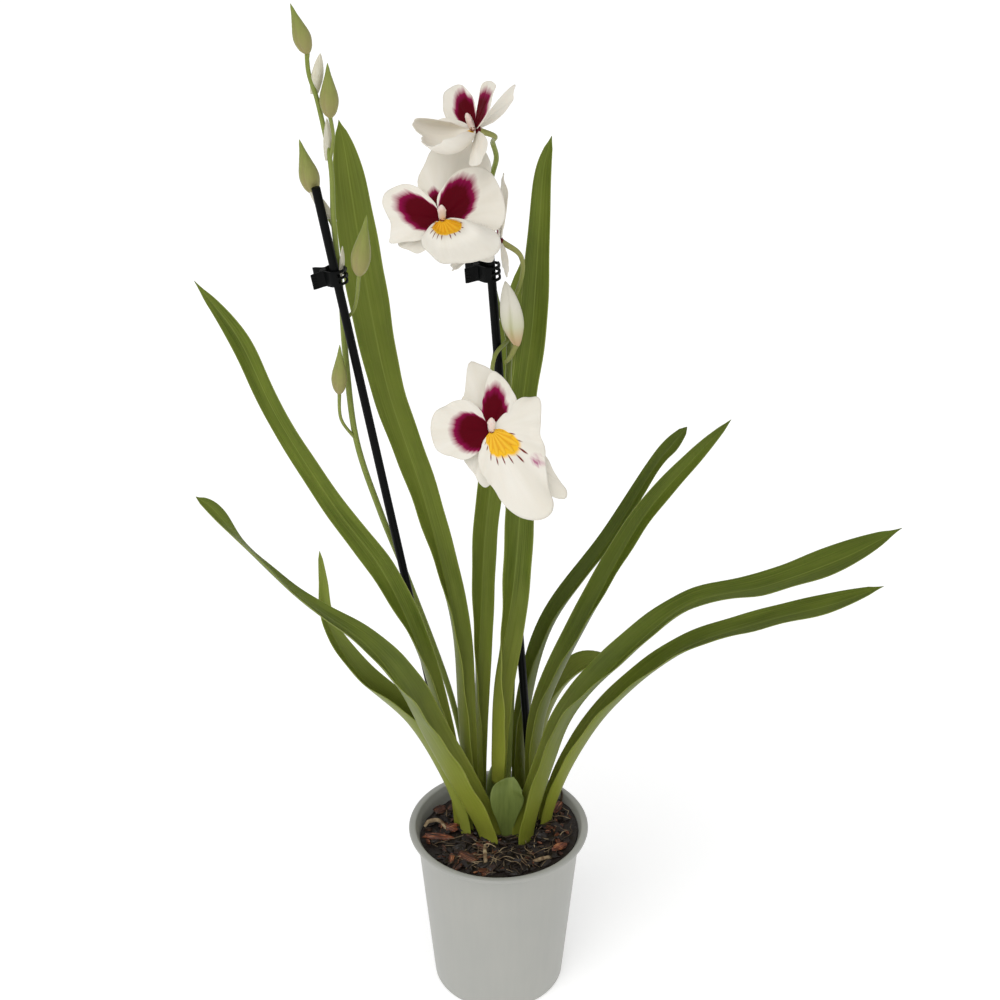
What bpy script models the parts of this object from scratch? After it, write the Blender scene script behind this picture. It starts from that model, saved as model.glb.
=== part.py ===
"""A pansy orchid in a plastic grower's pot, with two flower spikes clipped to black stakes.

Metres, +Z up. The origin is the centre of the pot's underside, and -Y is the side the plant is shown from.
"""
import math
import random

import bmesh
import bpy
from mathutils import Matrix, Vector, geometry

POT_HEIGHT = 0.124
POT_RIM_RADIUS = 0.060
POT_RIM_INNER_RADIUS = 0.0558
POT_RIM_DROP = 0.0095
POT_WALL_TOP_RADIUS = 0.0535
POT_FOOT_RADIUS = 0.0440
POT_WALL = 0.0013
POT_FLOOR = 0.0025
POT_SIDES = 36
DRAIN_HOLES = 6
DRAIN_HOLE_RADIUS = 0.0035
DRAIN_CIRCLE_RADIUS = 0.026
MEDIUM_LEVEL = 0.1160
MEDIUM_SLOPE = 0.0030
BARK_CHIPS = 18
FOOT_LEVEL = 0.107
HOLE_TOP = 0.136
GAP = 0.0004
STAKE_RADIUS = 0.0026
LEAF_THICKNESS = 0.0011
PETAL_THICKNESS = 0.0009
CLIP_HEIGHT = 0.0096
CLIP_WALL = 0.0013
CLIP_KNUCKLE_RADIUS = 0.0020
CLIP_PIN_RADIUS = 0.0008
CLIP_PIN_GAP = 0.0003
SHOWN_FROM = Vector((0.0, -0.886, 0.464))
UP = Vector((0.0, 0.0, 1.0))


def clear_scene():
    for obj in list(bpy.data.objects):
        bpy.data.objects.remove(obj, do_unlink=True)


def linear(hex_colour):
    """An sRGB hex colour as linear RGBA."""
    parts = [int(hex_colour[i:i + 2], 16) / 255 for i in (0, 2, 4)]
    return [c / 12.92 if c <= 0.04045 else ((c + 0.055) / 1.055) ** 2.4 for c in parts] + [1.0]


def surface(name, hex_colour, roughness, metallic=0.0):
    """A Principled material of one colour."""
    made = bpy.data.materials.new(name)
    made.use_nodes = True
    shader = made.node_tree.nodes["Principled BSDF"]
    shader.inputs["Base Color"].default_value = linear(hex_colour)
    shader.inputs["Roughness"].default_value = roughness
    shader.inputs["Metallic"].default_value = metallic
    made.diffuse_color = linear(hex_colour)
    return made


def solid(name, points, faces, smooth=True):
    """An object from points and faces, with the faces turned out."""
    mesh = bpy.data.meshes.new(name)
    mesh.from_pydata([tuple(p) for p in points], [], faces)
    shape = bmesh.new()
    shape.from_mesh(mesh)
    bmesh.ops.recalc_face_normals(shape, faces=shape.faces)
    shape.to_mesh(mesh)
    shape.free()
    if smooth:
        mesh.shade_smooth()
        mesh.set_sharp_from_angle(angle=math.radians(40))
    obj = bpy.data.objects.new(name, mesh)
    bpy.context.scene.collection.objects.link(obj)
    return obj


def finish(obj, name, material, parent, origin=(0.0, 0.0, 0.0)):
    """Names the object, gives it a material and a parent, and puts its origin at a point of the parent."""
    obj.name = name
    obj.data.name = name
    obj.data.materials.clear()
    obj.data.materials.append(material)
    obj.data.transform(Matrix.Translation(-Vector(origin)))
    obj.location = origin
    obj.parent = parent
    return obj


def anchor(name, frame=Matrix.Identity(4), parent=None):
    """An empty that holds a group of pieces where they belong."""
    empty = bpy.data.objects.new(name, None)
    empty.empty_display_size = 0.01
    bpy.context.scene.collection.objects.link(empty)
    empty.parent = parent
    empty.matrix_basis = frame
    return empty


def combine(obj, others, operation):
    """Joins the others to the object, or cuts them from it, and removes them."""
    group = bpy.data.collections.new("operands")
    bpy.context.scene.collection.children.link(group)
    for other in others:
        bpy.context.scene.collection.objects.unlink(other)
        group.objects.link(other)
    step = obj.modifiers.new("combine", "BOOLEAN")
    step.operation = operation
    step.operand_type = "COLLECTION"
    step.collection = group
    step.solver = "EXACT"
    bpy.context.view_layer.update()
    graph = bpy.context.evaluated_depsgraph_get()
    mesh = bpy.data.meshes.new_from_object(obj.evaluated_get(graph))
    obj.modifiers.clear()
    obj.data = mesh
    for other in others:
        bpy.data.objects.remove(other, do_unlink=True)
    bpy.data.collections.remove(group)
    mesh.shade_smooth()
    mesh.set_sharp_from_angle(angle=math.radians(40))
    return obj


def without_crumbs(obj):
    """Removes the crumbs that cutting leaves between two holes."""
    shape = bmesh.new()
    shape.from_mesh(obj.data)
    left = set(shape.faces)
    bodies = []
    while left:
        body, edge = set(), {left.pop()}
        while edge:
            face = edge.pop()
            body.add(face)
            near = {other for side in face.edges for other in side.link_faces} & left
            left -= near
            edge |= near
        bodies.append(body)
    bodies.sort(key=len)
    for body in bodies[:-1]:
        bmesh.ops.delete(shape, geom=list(body), context="FACES")
    shape.to_mesh(obj.data)
    shape.free()
    return obj


def through(rows, steps):
    """Rows of numbers read at even steps along a Catmull-Rom curve through the given rows."""
    padded = [[2 * a - b for a, b in zip(rows[0], rows[1])]] + [list(r) for r in rows]
    padded.append([2 * a - b for a, b in zip(rows[-1], rows[-2])])
    read = []
    for step in range(steps + 1):
        at = step / steps * (len(rows) - 1)
        k = min(int(at), len(rows) - 2)
        t = at - k
        p0, p1, p2, p3 = padded[k:k + 4]
        read.append([
            0.5 * (2 * b + (c - a) * t + (2 * a - 5 * b + 4 * c - d) * t * t
                   + (3 * b - a - 3 * c + d) * t ** 3)
            for a, b, c, d in zip(p0, p1, p2, p3)
        ])
    return read


def skin(rings):
    """Points and triangles that wrap a list of equal closed rings, with a flat cap at each end."""
    sides = len(rings[0])
    points = [p for ring in rings for p in ring]
    faces = []
    for k in range(len(rings) - 1):
        for i in range(sides):
            j = (i + 1) % sides
            a, b = k * sides + i, k * sides + j
            c, d = a + sides, b + sides
            faces += [(a, b, d), (a, d, c)]
    faces.append(tuple(range(sides - 1, -1, -1)))
    faces.append(tuple(range(len(points) - sides, len(points))))
    return points, faces


def tube(name, route, radii, sides=8, steps=None):
    """A round stem along a smooth route, its radius read from the radii along the way."""
    steps = steps or 3 * (len(route) - 1)
    centres = [Vector(p) for p in through(route, steps)]
    sizes = [r[0] for r in through([(r,) for r in radii], steps)]
    rings = []
    across = None
    for k, centre in enumerate(centres):
        along = (centres[min(k + 1, steps)] - centres[max(k - 1, 0)]).normalized()
        if across is None:
            across = along.orthogonal().normalized()
        across = (across - along * across.dot(along)).normalized()
        other = along.cross(across)
        ring = []
        for i in range(sides):
            turn = 2 * math.pi * i / sides
            ring.append(centre + sizes[k] * (math.cos(turn) * across + math.sin(turn) * other))
        rings.append(ring)
    return solid(name, *skin(rings))


def turned(name, profile, sides):
    """A solid turned about Z from a profile of radius and height whose ends lie on the axis."""
    points = [Vector((0.0, 0.0, profile[0][1])), Vector((0.0, 0.0, profile[-1][1]))]
    for radius, height in profile[1:-1]:
        for i in range(sides):
            turn = 2 * math.pi * i / sides
            points.append(Vector((radius * math.cos(turn), radius * math.sin(turn), height)))
    faces = []
    rows = len(profile) - 2
    for i in range(sides):
        j = (i + 1) % sides
        faces.append((0, 2 + j, 2 + i))
        for k in range(rows - 1):
            a, b = 2 + k * sides + i, 2 + k * sides + j
            faces.append((a, b, b + sides, a + sides))
        last = 2 + (rows - 1) * sides
        faces.append((1, last + i, last + j))
    return solid(name, points, faces)


def ball(name, centre, sizes, sides=12, rows=7, turn=Matrix.Identity(3)):
    """An ellipsoid with its poles on its own Z axis."""
    profile = []
    for k in range(rows + 1):
        angle = math.pi * (k / rows - 0.5)
        profile.append((math.cos(angle), math.sin(angle)))
    obj = turned(name, profile, sides)
    scale = Matrix.Diagonal(Vector(sizes))
    for vertex in obj.data.vertices:
        vertex.co = Vector(centre) + turn @ (scale @ vertex.co)
    return obj


# The pot: a thin tapered wall under a rolled rim, on a small rounded foot.

def wall_radius_at(height):
    """Radius of the outside of the wall."""
    top = POT_HEIGHT - POT_RIM_DROP
    return POT_FOOT_RADIUS + (POT_WALL_TOP_RADIUS - POT_FOOT_RADIUS) * height / top


def make_pot(material, plant):
    under_rim = POT_HEIGHT - POT_RIM_DROP
    foot_round = 0.0022
    inner_foot = wall_radius_at(POT_FLOOR) - POT_WALL
    profile = [
        (0.0, 0.0),
        (POT_FOOT_RADIUS - foot_round, 0.0),
        (POT_FOOT_RADIUS - 0.3 * foot_round, 0.3 * foot_round),
        (wall_radius_at(foot_round), foot_round),
        (wall_radius_at(under_rim), under_rim - 0.0005),
        (POT_RIM_RADIUS - 0.0015, under_rim + 0.0006),
        (POT_RIM_RADIUS - 0.0002, under_rim + 0.0022),
        (POT_RIM_RADIUS, POT_HEIGHT - 0.0018),
        (POT_RIM_RADIUS - 0.0010, POT_HEIGHT),
        (POT_RIM_INNER_RADIUS + 0.0007, POT_HEIGHT),
        (POT_RIM_INNER_RADIUS, POT_HEIGHT - 0.0009),
        (POT_RIM_INNER_RADIUS - 0.0012, POT_HEIGHT - 0.0040),
        (wall_radius_at(under_rim) - POT_WALL, under_rim - 0.0020),
        (inner_foot, POT_FLOOR + 0.0015),
        (inner_foot - 0.0015, POT_FLOOR),
        (0.0, POT_FLOOR),
    ]
    pot = turned("pot", profile, POT_SIDES)
    holes = []
    for k in range(DRAIN_HOLES):
        turn = 2 * math.pi * (k + 0.5) / DRAIN_HOLES
        x, y = DRAIN_CIRCLE_RADIUS * math.cos(turn), DRAIN_CIRCLE_RADIUS * math.sin(turn)
        holes.append(tube("hole", [(x, y, -0.002), (x, y, 0.006)], [DRAIN_HOLE_RADIUS] * 2, 12, 1))
    return finish(combine(pot, holes, "DIFFERENCE"), "pot", material, plant)


# The leaves: thin straps folded along the keel, closed at the foot and opening towards the tip.
# Each row is x, y, z of the keel, half width, the angle between the halves, and the turn about the keel.

LEAVES = {
    "leaf_far_left": [
        (-0.029, 0.0103, 0.107, 0.0080, 45, 80),
        (-0.031, 0.0103, 0.135, 0.0085, 45, 80),
        (-0.036, 0.0105, 0.180, 0.0095, 50, 75),
        (-0.051, 0.007, 0.255, 0.0100, 75, 50),
        (-0.071, 0.004, 0.314, 0.0094, 115, 15),
        (-0.101, 0.008, 0.361, 0.0076, 130, 0),
        (-0.133, 0.020, 0.413, 0.0068, 125, 0),
        (-0.156, 0.036, 0.459, 0.0068, 120, 0),
        (-0.183, 0.054, 0.489, 0.0010, 125, 0),
    ],
    "leaf_front_left": [
        (-0.010, -0.005, 0.107, 0.0150, 45, 68),
        (-0.015, -0.005, 0.125, 0.0165, 45, 70),
        (-0.029, -0.010, 0.160, 0.0180, 52, 73),
        (-0.046, -0.020, 0.206, 0.0180, 68, 76),
        (-0.060, -0.037, 0.255, 0.0160, 92, 68),
        (-0.079, -0.056, 0.300, 0.0108, 125, 58),
        (-0.112, -0.084, 0.349, 0.0066, 145, 74),
        (-0.139, -0.103, 0.394, 0.0055, 158, 90),
        (-0.153, -0.110, 0.420, 0.0040, 140, 30),
        (-0.161, -0.114, 0.430, 0.0010, 140, 0),
    ],
    "leaf_short_left": [
        (-0.024, 0.002, 0.107, 0.0085, 45, 75),
        (-0.027, 0.002, 0.128, 0.0090, 45, 75),
        (-0.038, 0.001, 0.163, 0.0110, 50, 72),
        (-0.058, -0.008, 0.211, 0.0125, 62, 64),
        (-0.087, -0.024, 0.257, 0.0110, 85, 52),
        (-0.103, -0.036, 0.302, 0.0056, 105, 30),
        (-0.104, -0.041, 0.336, 0.0030, 120, 5),
        (-0.105, -0.043, 0.357, 0.0010, 120, 0),
    ],
    "leaf_tall_left": [
        (-0.022, 0.018, 0.107, 0.0095, 45, 70),
        (-0.023, 0.018, 0.135, 0.0100, 45, 70),
        (-0.026, 0.018, 0.196, 0.0118, 55, 65),
        (-0.030, 0.027, 0.268, 0.0118, 75, 45),
        (-0.047, 0.037, 0.350, 0.0112, 105, 18),
        (-0.068, 0.047, 0.421, 0.0112, 125, 0),
        (-0.079, 0.057, 0.487, 0.0120, 138, 0),
        (-0.087, 0.062, 0.540, 0.0085, 140, 0),
        (-0.093, 0.066, 0.582, 0.0010, 140, 0),
    ],
    "leaf_mid_left": [
        (-0.017, 0.0268, 0.107, 0.0080, 45, 75),
        (-0.017, 0.0268, 0.135, 0.0090, 45, 75),
        (-0.016, 0.0268, 0.189, 0.0095, 58, 62),
        (-0.012, 0.030, 0.262, 0.0092, 95, 25),
        (-0.008, 0.036, 0.330, 0.0090, 120, 0),
        (0.000, 0.045, 0.395, 0.0090, 125, 0),
        (0.007, 0.055, 0.455, 0.0088, 130, 0),
        (0.015, 0.062, 0.502, 0.0010, 130, 0),
    ],
    "leaf_centre": [
        (-0.005, 0.005, 0.1535, 0.0120, 45, 82),
        (-0.005, 0.004, 0.182, 0.0130, 50, 80),
        (-0.002, 0.002, 0.235, 0.0130, 66, 62),
        (0.008, -0.003, 0.300, 0.0112, 100, 25),
        (0.013, -0.003, 0.360, 0.0100, 120, 0),
        (0.014, 0.002, 0.424, 0.0090, 112, 0),
        (0.020, 0.009, 0.480, 0.0095, 122, 0),
        (0.024, 0.016, 0.540, 0.0068, 128, 0),
        (0.030, 0.022, 0.587, 0.0010, 130, 0),
    ],
    "leaf_right_bent": [
        (0.018, 0.030, 0.107, 0.0085, 45, -75),
        (0.018, 0.030, 0.135, 0.0095, 45, -75),
        (0.020, 0.031, 0.190, 0.0105, 58, -70),
        (0.035, 0.038, 0.256, 0.0100, 85, -54),
        (0.073, 0.055, 0.311, 0.0080, 108, -42),
        (0.100, 0.070, 0.354, 0.0060, 112, -30),
        (0.112, 0.077, 0.368, 0.0052, 120, -15),
        (0.123, 0.080, 0.373, 0.0022, 130, 0),
    ],
    "leaf_right_upright": [
        (0.027, 0.018, 0.107, 0.0085, 45, -75),
        (0.027, 0.018, 0.135, 0.0095, 45, -75),
        (0.031, 0.012, 0.205, 0.0112, 55, -65),
        (0.056, 0.005, 0.280, 0.0113, 78, -46),
        (0.086, -0.003, 0.354, 0.0086, 102, -25),
        (0.116, -0.006, 0.399, 0.0058, 114, -15),
        (0.137, -0.006, 0.425, 0.0010, 120, 0),
    ],
    "leaf_front_right": [
        (0.027, -0.003, 0.107, 0.0125, 45, -68),
        (0.028, -0.004, 0.130, 0.0130, 45, -70),
        (0.035, -0.010, 0.178, 0.0135, 54, -74),
        (0.048, -0.022, 0.228, 0.0132, 75, -74),
        (0.074, -0.045, 0.282, 0.0125, 106, -60),
        (0.110, -0.067, 0.334, 0.0105, 138, -64),
        (0.152, -0.087, 0.359, 0.0105, 142, -56),
        (0.190, -0.103, 0.386, 0.0098, 142, -46),
        (0.217, -0.114, 0.411, 0.0010, 140, -40),
    ],
    "leaf_low_right": [
        (0.035, 0.008, 0.107, 0.0085, 45, -75),
        (0.037, 0.008, 0.130, 0.0095, 45, -75),
        (0.051, -0.001, 0.178, 0.0108, 58, -74),
        (0.074, -0.013, 0.228, 0.0108, 80, -70),
        (0.112, -0.031, 0.280, 0.0100, 122, -66),
        (0.155, -0.054, 0.314, 0.0095, 138, -58),
        (0.193, -0.071, 0.337, 0.0078, 142, -50),
        (0.219, -0.082, 0.356, 0.0010, 140, -44),
    ],
    "leaf_back_right": [
        (0.025, 0.041, 0.107, 0.0075, 50, -75),
        (0.026, 0.042, 0.135, 0.0090, 52, -75),
        (0.036, 0.053, 0.180, 0.0112, 76, -66),
        (0.057, 0.070, 0.203, 0.0112, 116, -50),
        (0.087, 0.090, 0.196, 0.0010, 130, -50),
    ],
}


def leaf_ring(centre, along, half_width, fold, turn):
    """The ten corners of a folded strap across its keel."""
    towards = (SHOWN_FROM - along * SHOWN_FROM.dot(along)).normalized()
    opening = math.cos(turn) * towards + math.sin(turn) * along.cross(towards)
    across = along.cross(opening)
    sine, cosine = math.sin(fold / 2), math.cos(fold / 2)
    half = LEAF_THICKNESS / 2
    upper, lower = {}, {}
    for side in (-1, 1):
        out = side * sine * across + cosine * opening
        face = sine * opening - side * cosine * across
        for share, thin, arch in ((1.0, 0.75, 0.0), (0.5, 1.0, -0.06)):
            middle = centre + half_width * (share * out + arch * face)
            upper[side, share] = middle + half * thin * face
            lower[side, share] = middle - half * thin * face
    spread = half / max(sine, 0.4)
    return [
        upper[-1, 1.0], upper[-1, 0.5], centre + spread * opening, upper[1, 0.5], upper[1, 1.0],
        lower[1, 1.0], lower[1, 0.5], centre - spread * opening, lower[-1, 0.5], lower[-1, 1.0],
    ]


def make_leaf(name, rows, material, plant):
    steps = 2 * (len(rows) - 1)
    read = through(rows, steps)
    centres = [Vector(r[:3]) for r in read]
    rings = []
    for k, row in enumerate(read):
        along = (centres[min(k + 1, steps)] - centres[max(k - 1, 0)]).normalized()
        rings.append(leaf_ring(centres[k], along, row[3], math.radians(row[4]), math.radians(row[5])))
    return finish(solid(name, *skin(rings)), name, material, plant, centres[0])


# The pseudobulbs: flat green bulbs that the leaves stand round.

BULBS = {
    "pseudobulb_front": ((0.006, 0.008, 0.126), (0.0150, 0.0055, 0.0260)),
    "pseudobulb_back": ((0.000, 0.037, 0.124), (0.0085, 0.0055, 0.0240)),
}


def make_bulb(name, centre, sizes, material, plant):
    return finish(ball(name, centre, sizes, 14, 8), name, material, plant, centre)


# The flower spikes: a jointed green stem with its buds and its flower stalks in one piece.

LEFT_STEM = [
    (-0.019, 0.031, 0.107), (-0.022, 0.032, 0.150), (-0.033, 0.033, 0.210), (-0.057, 0.032, 0.291),
    (-0.074, 0.029, 0.345), (-0.087, 0.027, 0.396), (-0.091, 0.025, 0.450), (-0.092, 0.024, 0.489),
    (-0.093, 0.0235, 0.510), (-0.094, 0.018, 0.540), (-0.094, 0.012, 0.570), (-0.099, 0.008, 0.609),
    (-0.105, 0.005, 0.636),
]
# Foot of the stalk on the stem, bend of the stalk, base of the bud, tip, widest radius.
LEFT_BUDS = [
    ((-0.104, 0.005, 0.630), (-0.1035, 0.005, 0.633), (-0.1025, 0.005, 0.637),
     (-0.110, 0.002, 0.664), 0.0048),
    ((-0.094, 0.012, 0.575), (-0.091, 0.008, 0.590), (-0.092, 0.006, 0.602),
     (-0.092, 0.004, 0.632), 0.0052),
    ((-0.094, 0.019, 0.534), (-0.0990, 0.0235, 0.543), (-0.1048, 0.0230, 0.5535),
     (-0.1114, 0.0215, 0.585), 0.0056),
    ((-0.092, 0.024, 0.474), (-0.084, 0.021, 0.485), (-0.080, 0.010, 0.509),
     (-0.074, 0.006, 0.546), 0.0056),
    ((-0.087, 0.027, 0.396), (-0.095, 0.020, 0.413), (-0.095, 0.016, 0.432),
     (-0.093, 0.012, 0.465), 0.0046),
]
RIGHT_STEM = [
    (0.004, 0.022, 0.107), (0.0052, 0.0223, 0.130), (0.007, 0.023, 0.160), (0.009, 0.0235, 0.230),
    (0.009, 0.0225, 0.300),
    (0.008, 0.0200, 0.352), (0.0065, 0.0175, 0.400), (0.006, 0.0145, 0.440), (0.006, 0.013, 0.468),
    (-0.001, 0.0125, 0.492), (-0.0045, 0.0120, 0.512), (-0.006, 0.011, 0.535), (-0.006, 0.009, 0.558),
    (-0.003, 0.005, 0.571), (-0.001, -0.003, 0.582), (-0.003, -0.012, 0.593),
]
BUD_PROFILE = ((0.0, 0.34), (0.12, 0.72), (0.32, 1.0), (0.6, 0.76), (0.85, 0.34), (1.0, 0.07))


def make_bud(name, base, tip, radius, profile, twist=0.0):
    """A closed bud from base to tip: three petals that meet in shallow seams."""
    axis = tip - base
    turn = UP.rotation_difference(axis).to_matrix()
    sides = 9
    rings = []
    for share, fullness in profile:
        ring = []
        for i in range(sides):
            angle = 2 * math.pi * i / sides + twist * share
            reach = radius * fullness * (0.88 if i % 3 == 0 else 1.0)
            across = Vector((reach * math.cos(angle), reach * math.sin(angle), share * axis.length))
            ring.append(base + turn @ across)
        rings.append(ring)
    return solid(name, *skin(rings))


def make_left_spike(material, plant):
    name = "left_flower_spike"
    stem = tube(name, LEFT_STEM, [0.0021, 0.0020, 0.0019, 0.0017, 0.0014, 0.0012], 7, 20)
    pieces = []
    for foot, bend, base, tip, radius in LEFT_BUDS:
        base, tip = Vector(base), Vector(tip)
        pieces.append(make_bud("bud", base, tip, radius, BUD_PROFILE))
        inside = base + 0.12 * (tip - base)
        pieces.append(tube("stalk", [foot, bend, base, inside], [0.0010, 0.0009, 0.0009, 0.0009], 5, 4))
    return finish(combine(stem, pieces, "UNION"), name, material, plant, LEFT_STEM[0])


def make_right_spike(stalks, material, plant):
    name = "right_flower_spike"
    stem = tube(name, RIGHT_STEM, [0.0021, 0.0020, 0.0019, 0.0018, 0.0016, 0.0014], 7, 22)
    pieces = [tube("stalk", route, [0.0013, 0.0012, 0.0014, 0.0018], 6, 6) for route in stalks]
    return finish(combine(stem, pieces, "UNION"), name, material, plant, RIGHT_STEM[0])


# The blooms: three sepals behind, two petals, a broad lip with two lobes, all grown from one small core.

# Of each kind of blade: its width at the base, where it is widest, and its width at the tip, as shares.
OUTLINES = {"petal": (0.26, 0.62, 0.40), "sepal": (0.34, 0.50, 0.16), "lip": (0.22, 0.66, 0.62)}


def fullness_of(kind, s):
    """Share of the half width at the share s of the length."""
    base, widest, tip = OUTLINES[kind]
    if s < widest:
        rise = math.sin(math.pi / 2 * s / widest)
        return base + (1 - base) * rise ** (1.9 if kind == "lip" else 1.2)
    fall = (s - widest) / (1 - widest)
    return tip + (1 - tip) * math.sqrt(max(0.0, 1 - fall * fall))


def blade_point(blade, s, u):
    """The point of a petal at the share s of its length and u from edge to edge, in its bloom's frame."""
    kind, angle, length, width, bend, curl, cup, ruffle, layer, skew = blade
    y, z = 0.0010, layer
    pieces = 12
    fullness = fullness_of(kind, s)
    reach = length * s * (1 + skew * u * fullness)
    for k in range(pieces):
        pitch = math.radians(bend + curl * s * (k + 0.5) / pieces)
        y += reach / pieces * math.cos(pitch)
        z += reach / pieces * math.sin(pitch)
    pitch = math.radians(bend + curl * s)
    half = width / 2 * fullness
    lift = cup * half * u * u + ruffle * s * abs(u) * math.sin(7.0 * s + 2.5 * u + angle)
    notch = 0.0
    if kind == "lip":
        notch = 0.20 * length * s ** 4 * (1 - abs(u)) ** 2
    y -= math.sin(pitch) * lift + notch * math.cos(pitch)
    z += math.cos(pitch) * lift - notch * math.sin(pitch)
    turn = math.radians(angle - 90)
    x = half * u
    return Vector((x * math.cos(turn) - y * math.sin(turn), x * math.sin(turn) + y * math.cos(turn), z))


def blade_normal(blade, s, u):
    step = 0.02
    along = blade_point(blade, min(s + step, 1.0), u) - blade_point(blade, max(s - step, 0.0), u)
    across = blade_point(blade, s, u + step) - blade_point(blade, s, u - step)
    return across.cross(along).normalized()


def sheet(name, blade, rows, low, high):
    """A closed sheet on rows of places on a blade, between two heights above its middle surface."""
    upper, lower = [], []
    for row in rows:
        for k, (s, u) in enumerate(row):
            point, normal = blade_point(blade, s, u), blade_normal(blade, s, u)
            lower.append(point + low * normal)
            upper.append(point + high[k % len(high)] * normal)
    wide = len(rows[0])
    count = len(upper)
    faces = []
    for k in range(len(rows) - 1):
        for i in range(wide - 1):
            a, b, c, d = k * wide + i, k * wide + i + 1, (k + 1) * wide + i + 1, (k + 1) * wide + i
            faces += [(a, b, c), (a, c, d)]
            faces += [(count + c, count + b, count + a), (count + d, count + c, count + a)]
    border = [i for i in range(wide)]
    border += [k * wide + wide - 1 for k in range(1, len(rows))]
    border += [(len(rows) - 1) * wide + i for i in range(wide - 2, -1, -1)]
    border += [k * wide for k in range(len(rows) - 2, 0, -1)]
    for k, a in enumerate(border):
        b = border[(k + 1) % len(border)]
        faces += [(b, a, count + a), (b, count + a, count + b)]
    return solid(name, upper + lower, faces)


BLADE_SHARES = (0.0, 0.16, 0.36, 0.56, 0.76, 0.92, 1.0)
BLADE_COLUMNS = {
    "sepal": (-1.0, 0.0, 1.0),
    "petal": (-1.0, -0.55, 0.0, 0.55, 1.0),
    "lip": (-1.0, -0.72, -0.42, -0.14, 0.14, 0.42, 0.72, 1.0),
}
CREST_ROWS = ((0.13, 0.08), (0.22, 0.15), (0.34, 0.18), (0.44, 0.15), (0.50, 0.07))
CREST_COLUMNS = (-1.0, -0.6, -0.2, 0.2, 0.6, 1.0)
CREST_RIDGES = (0.0005, 0.0011, 0.0007, 0.0013, 0.0008, 0.0005)

# Each bloom: centre, the way it faces, and its blades. A blade is its kind, its angle from the bloom's
# right-hand side, length, width, bend towards the face, curl along it, cup, ruffle, layer and skew.
BLOOMS = {
    "bloom_low": (
        (-0.004, -0.048, 0.438), (0.04, -0.88, 0.475), [
            ("sepal", 104, 0.041, 0.021, 2, -10, -0.10, 0.0010, -0.0016, 0.0),
            ("sepal", 257, 0.030, 0.021, -6, -6, -0.10, 0.0010, -0.0016, 0.0),
            ("sepal", 318, 0.056, 0.018, -4, -4, -0.10, 0.0010, -0.0016, 0.0),
            ("petal", 178, 0.0325, 0.029, 10, -14, 0.10, 0.0014, 0.0, 0.0),
            ("petal", 84, 0.035, 0.027, 10, -14, 0.10, 0.0014, 0.0, 0.0),
            ("lip", 323, 0.038, 0.056, 10, -8, -0.03, 0.0020, 0.0022, 0.46),
        ]),
    "bloom_middle": (
        (-0.0295, -0.048, 0.562), (-0.05, -0.918, 0.409), [
            ("sepal", 90, 0.037, 0.034, 2, -8, -0.10, 0.0010, -0.0016, 0.0),
            ("sepal", 198, 0.028, 0.016, -4, -6, -0.10, 0.0010, -0.0016, 0.0),
            ("sepal", 322, 0.034, 0.016, 0, -10, -0.10, 0.0010, -0.0016, 0.0),
            ("petal", 173, 0.030, 0.031, 10, -10, 0.10, 0.0014, 0.0, 0.0),
            ("petal", 40, 0.034, 0.032, 10, -10, 0.10, 0.0014, 0.0, 0.0),
            ("lip", 296, 0.036, 0.042, 46, 6, -0.03, 0.0018, 0.0016, -0.30),
        ]),
    "bloom_behind": (
        (0.000, -0.014, 0.538), (-0.99, -0.10, 0.10), [
            ("sepal", 95, 0.037, 0.022, 8, -8, -0.10, 0.0010, -0.0016, 0.0),
            ("sepal", 228, 0.022, 0.014, -8, -6, -0.10, 0.0010, -0.0016, 0.0),
            ("sepal", 306, 0.020, 0.014, -8, -6, -0.10, 0.0010, -0.0016, 0.0),
            ("petal", 150, 0.030, 0.024, -6, -4, 0.10, 0.0014, 0.0, 0.0),
            ("petal", 40, 0.032, 0.024, 10, -6, 0.10, 0.0014, 0.0, 0.0),
            ("lip", 268, 0.028, 0.022, 62, 28, -0.04, 0.0014, 0.0014, 0.0),
        ]),
    "bloom_top": (
        (-0.012, -0.036, 0.607), (-0.72, -0.55, 0.42), [
            ("sepal", 84, 0.028, 0.016, -22, -10, -0.10, 0.0010, -0.0016, 0.0),
            ("sepal", 206, 0.027, 0.016, 34, 0, -0.10, 0.0010, -0.0016, 0.0),
            ("sepal", 322, 0.026, 0.016, 22, 0, -0.10, 0.0010, -0.0016, 0.0),
            ("petal", 150, 0.026, 0.026, 8, -6, 0.10, 0.0014, 0.0, 0.0),
            ("petal", 45, 0.031, 0.020, 28, 0, 0.10, 0.0014, 0.0, 0.0),
            ("lip", 248, 0.032, 0.040, 62, 24, -0.04, 0.0018, 0.0014, 0.0),
        ]),
}


def bloom_frame(centre, facing):
    """The matrix from a bloom's own frame, face to +Z and top to +Y, to the plant's."""
    face = Vector(facing).normalized()
    top = (UP - face * UP.dot(face)).normalized()
    side = top.cross(face)
    turn = Matrix((side, top, face)).transposed()
    return Matrix.Translation(Vector(centre)) @ turn.to_4x4()


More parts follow.
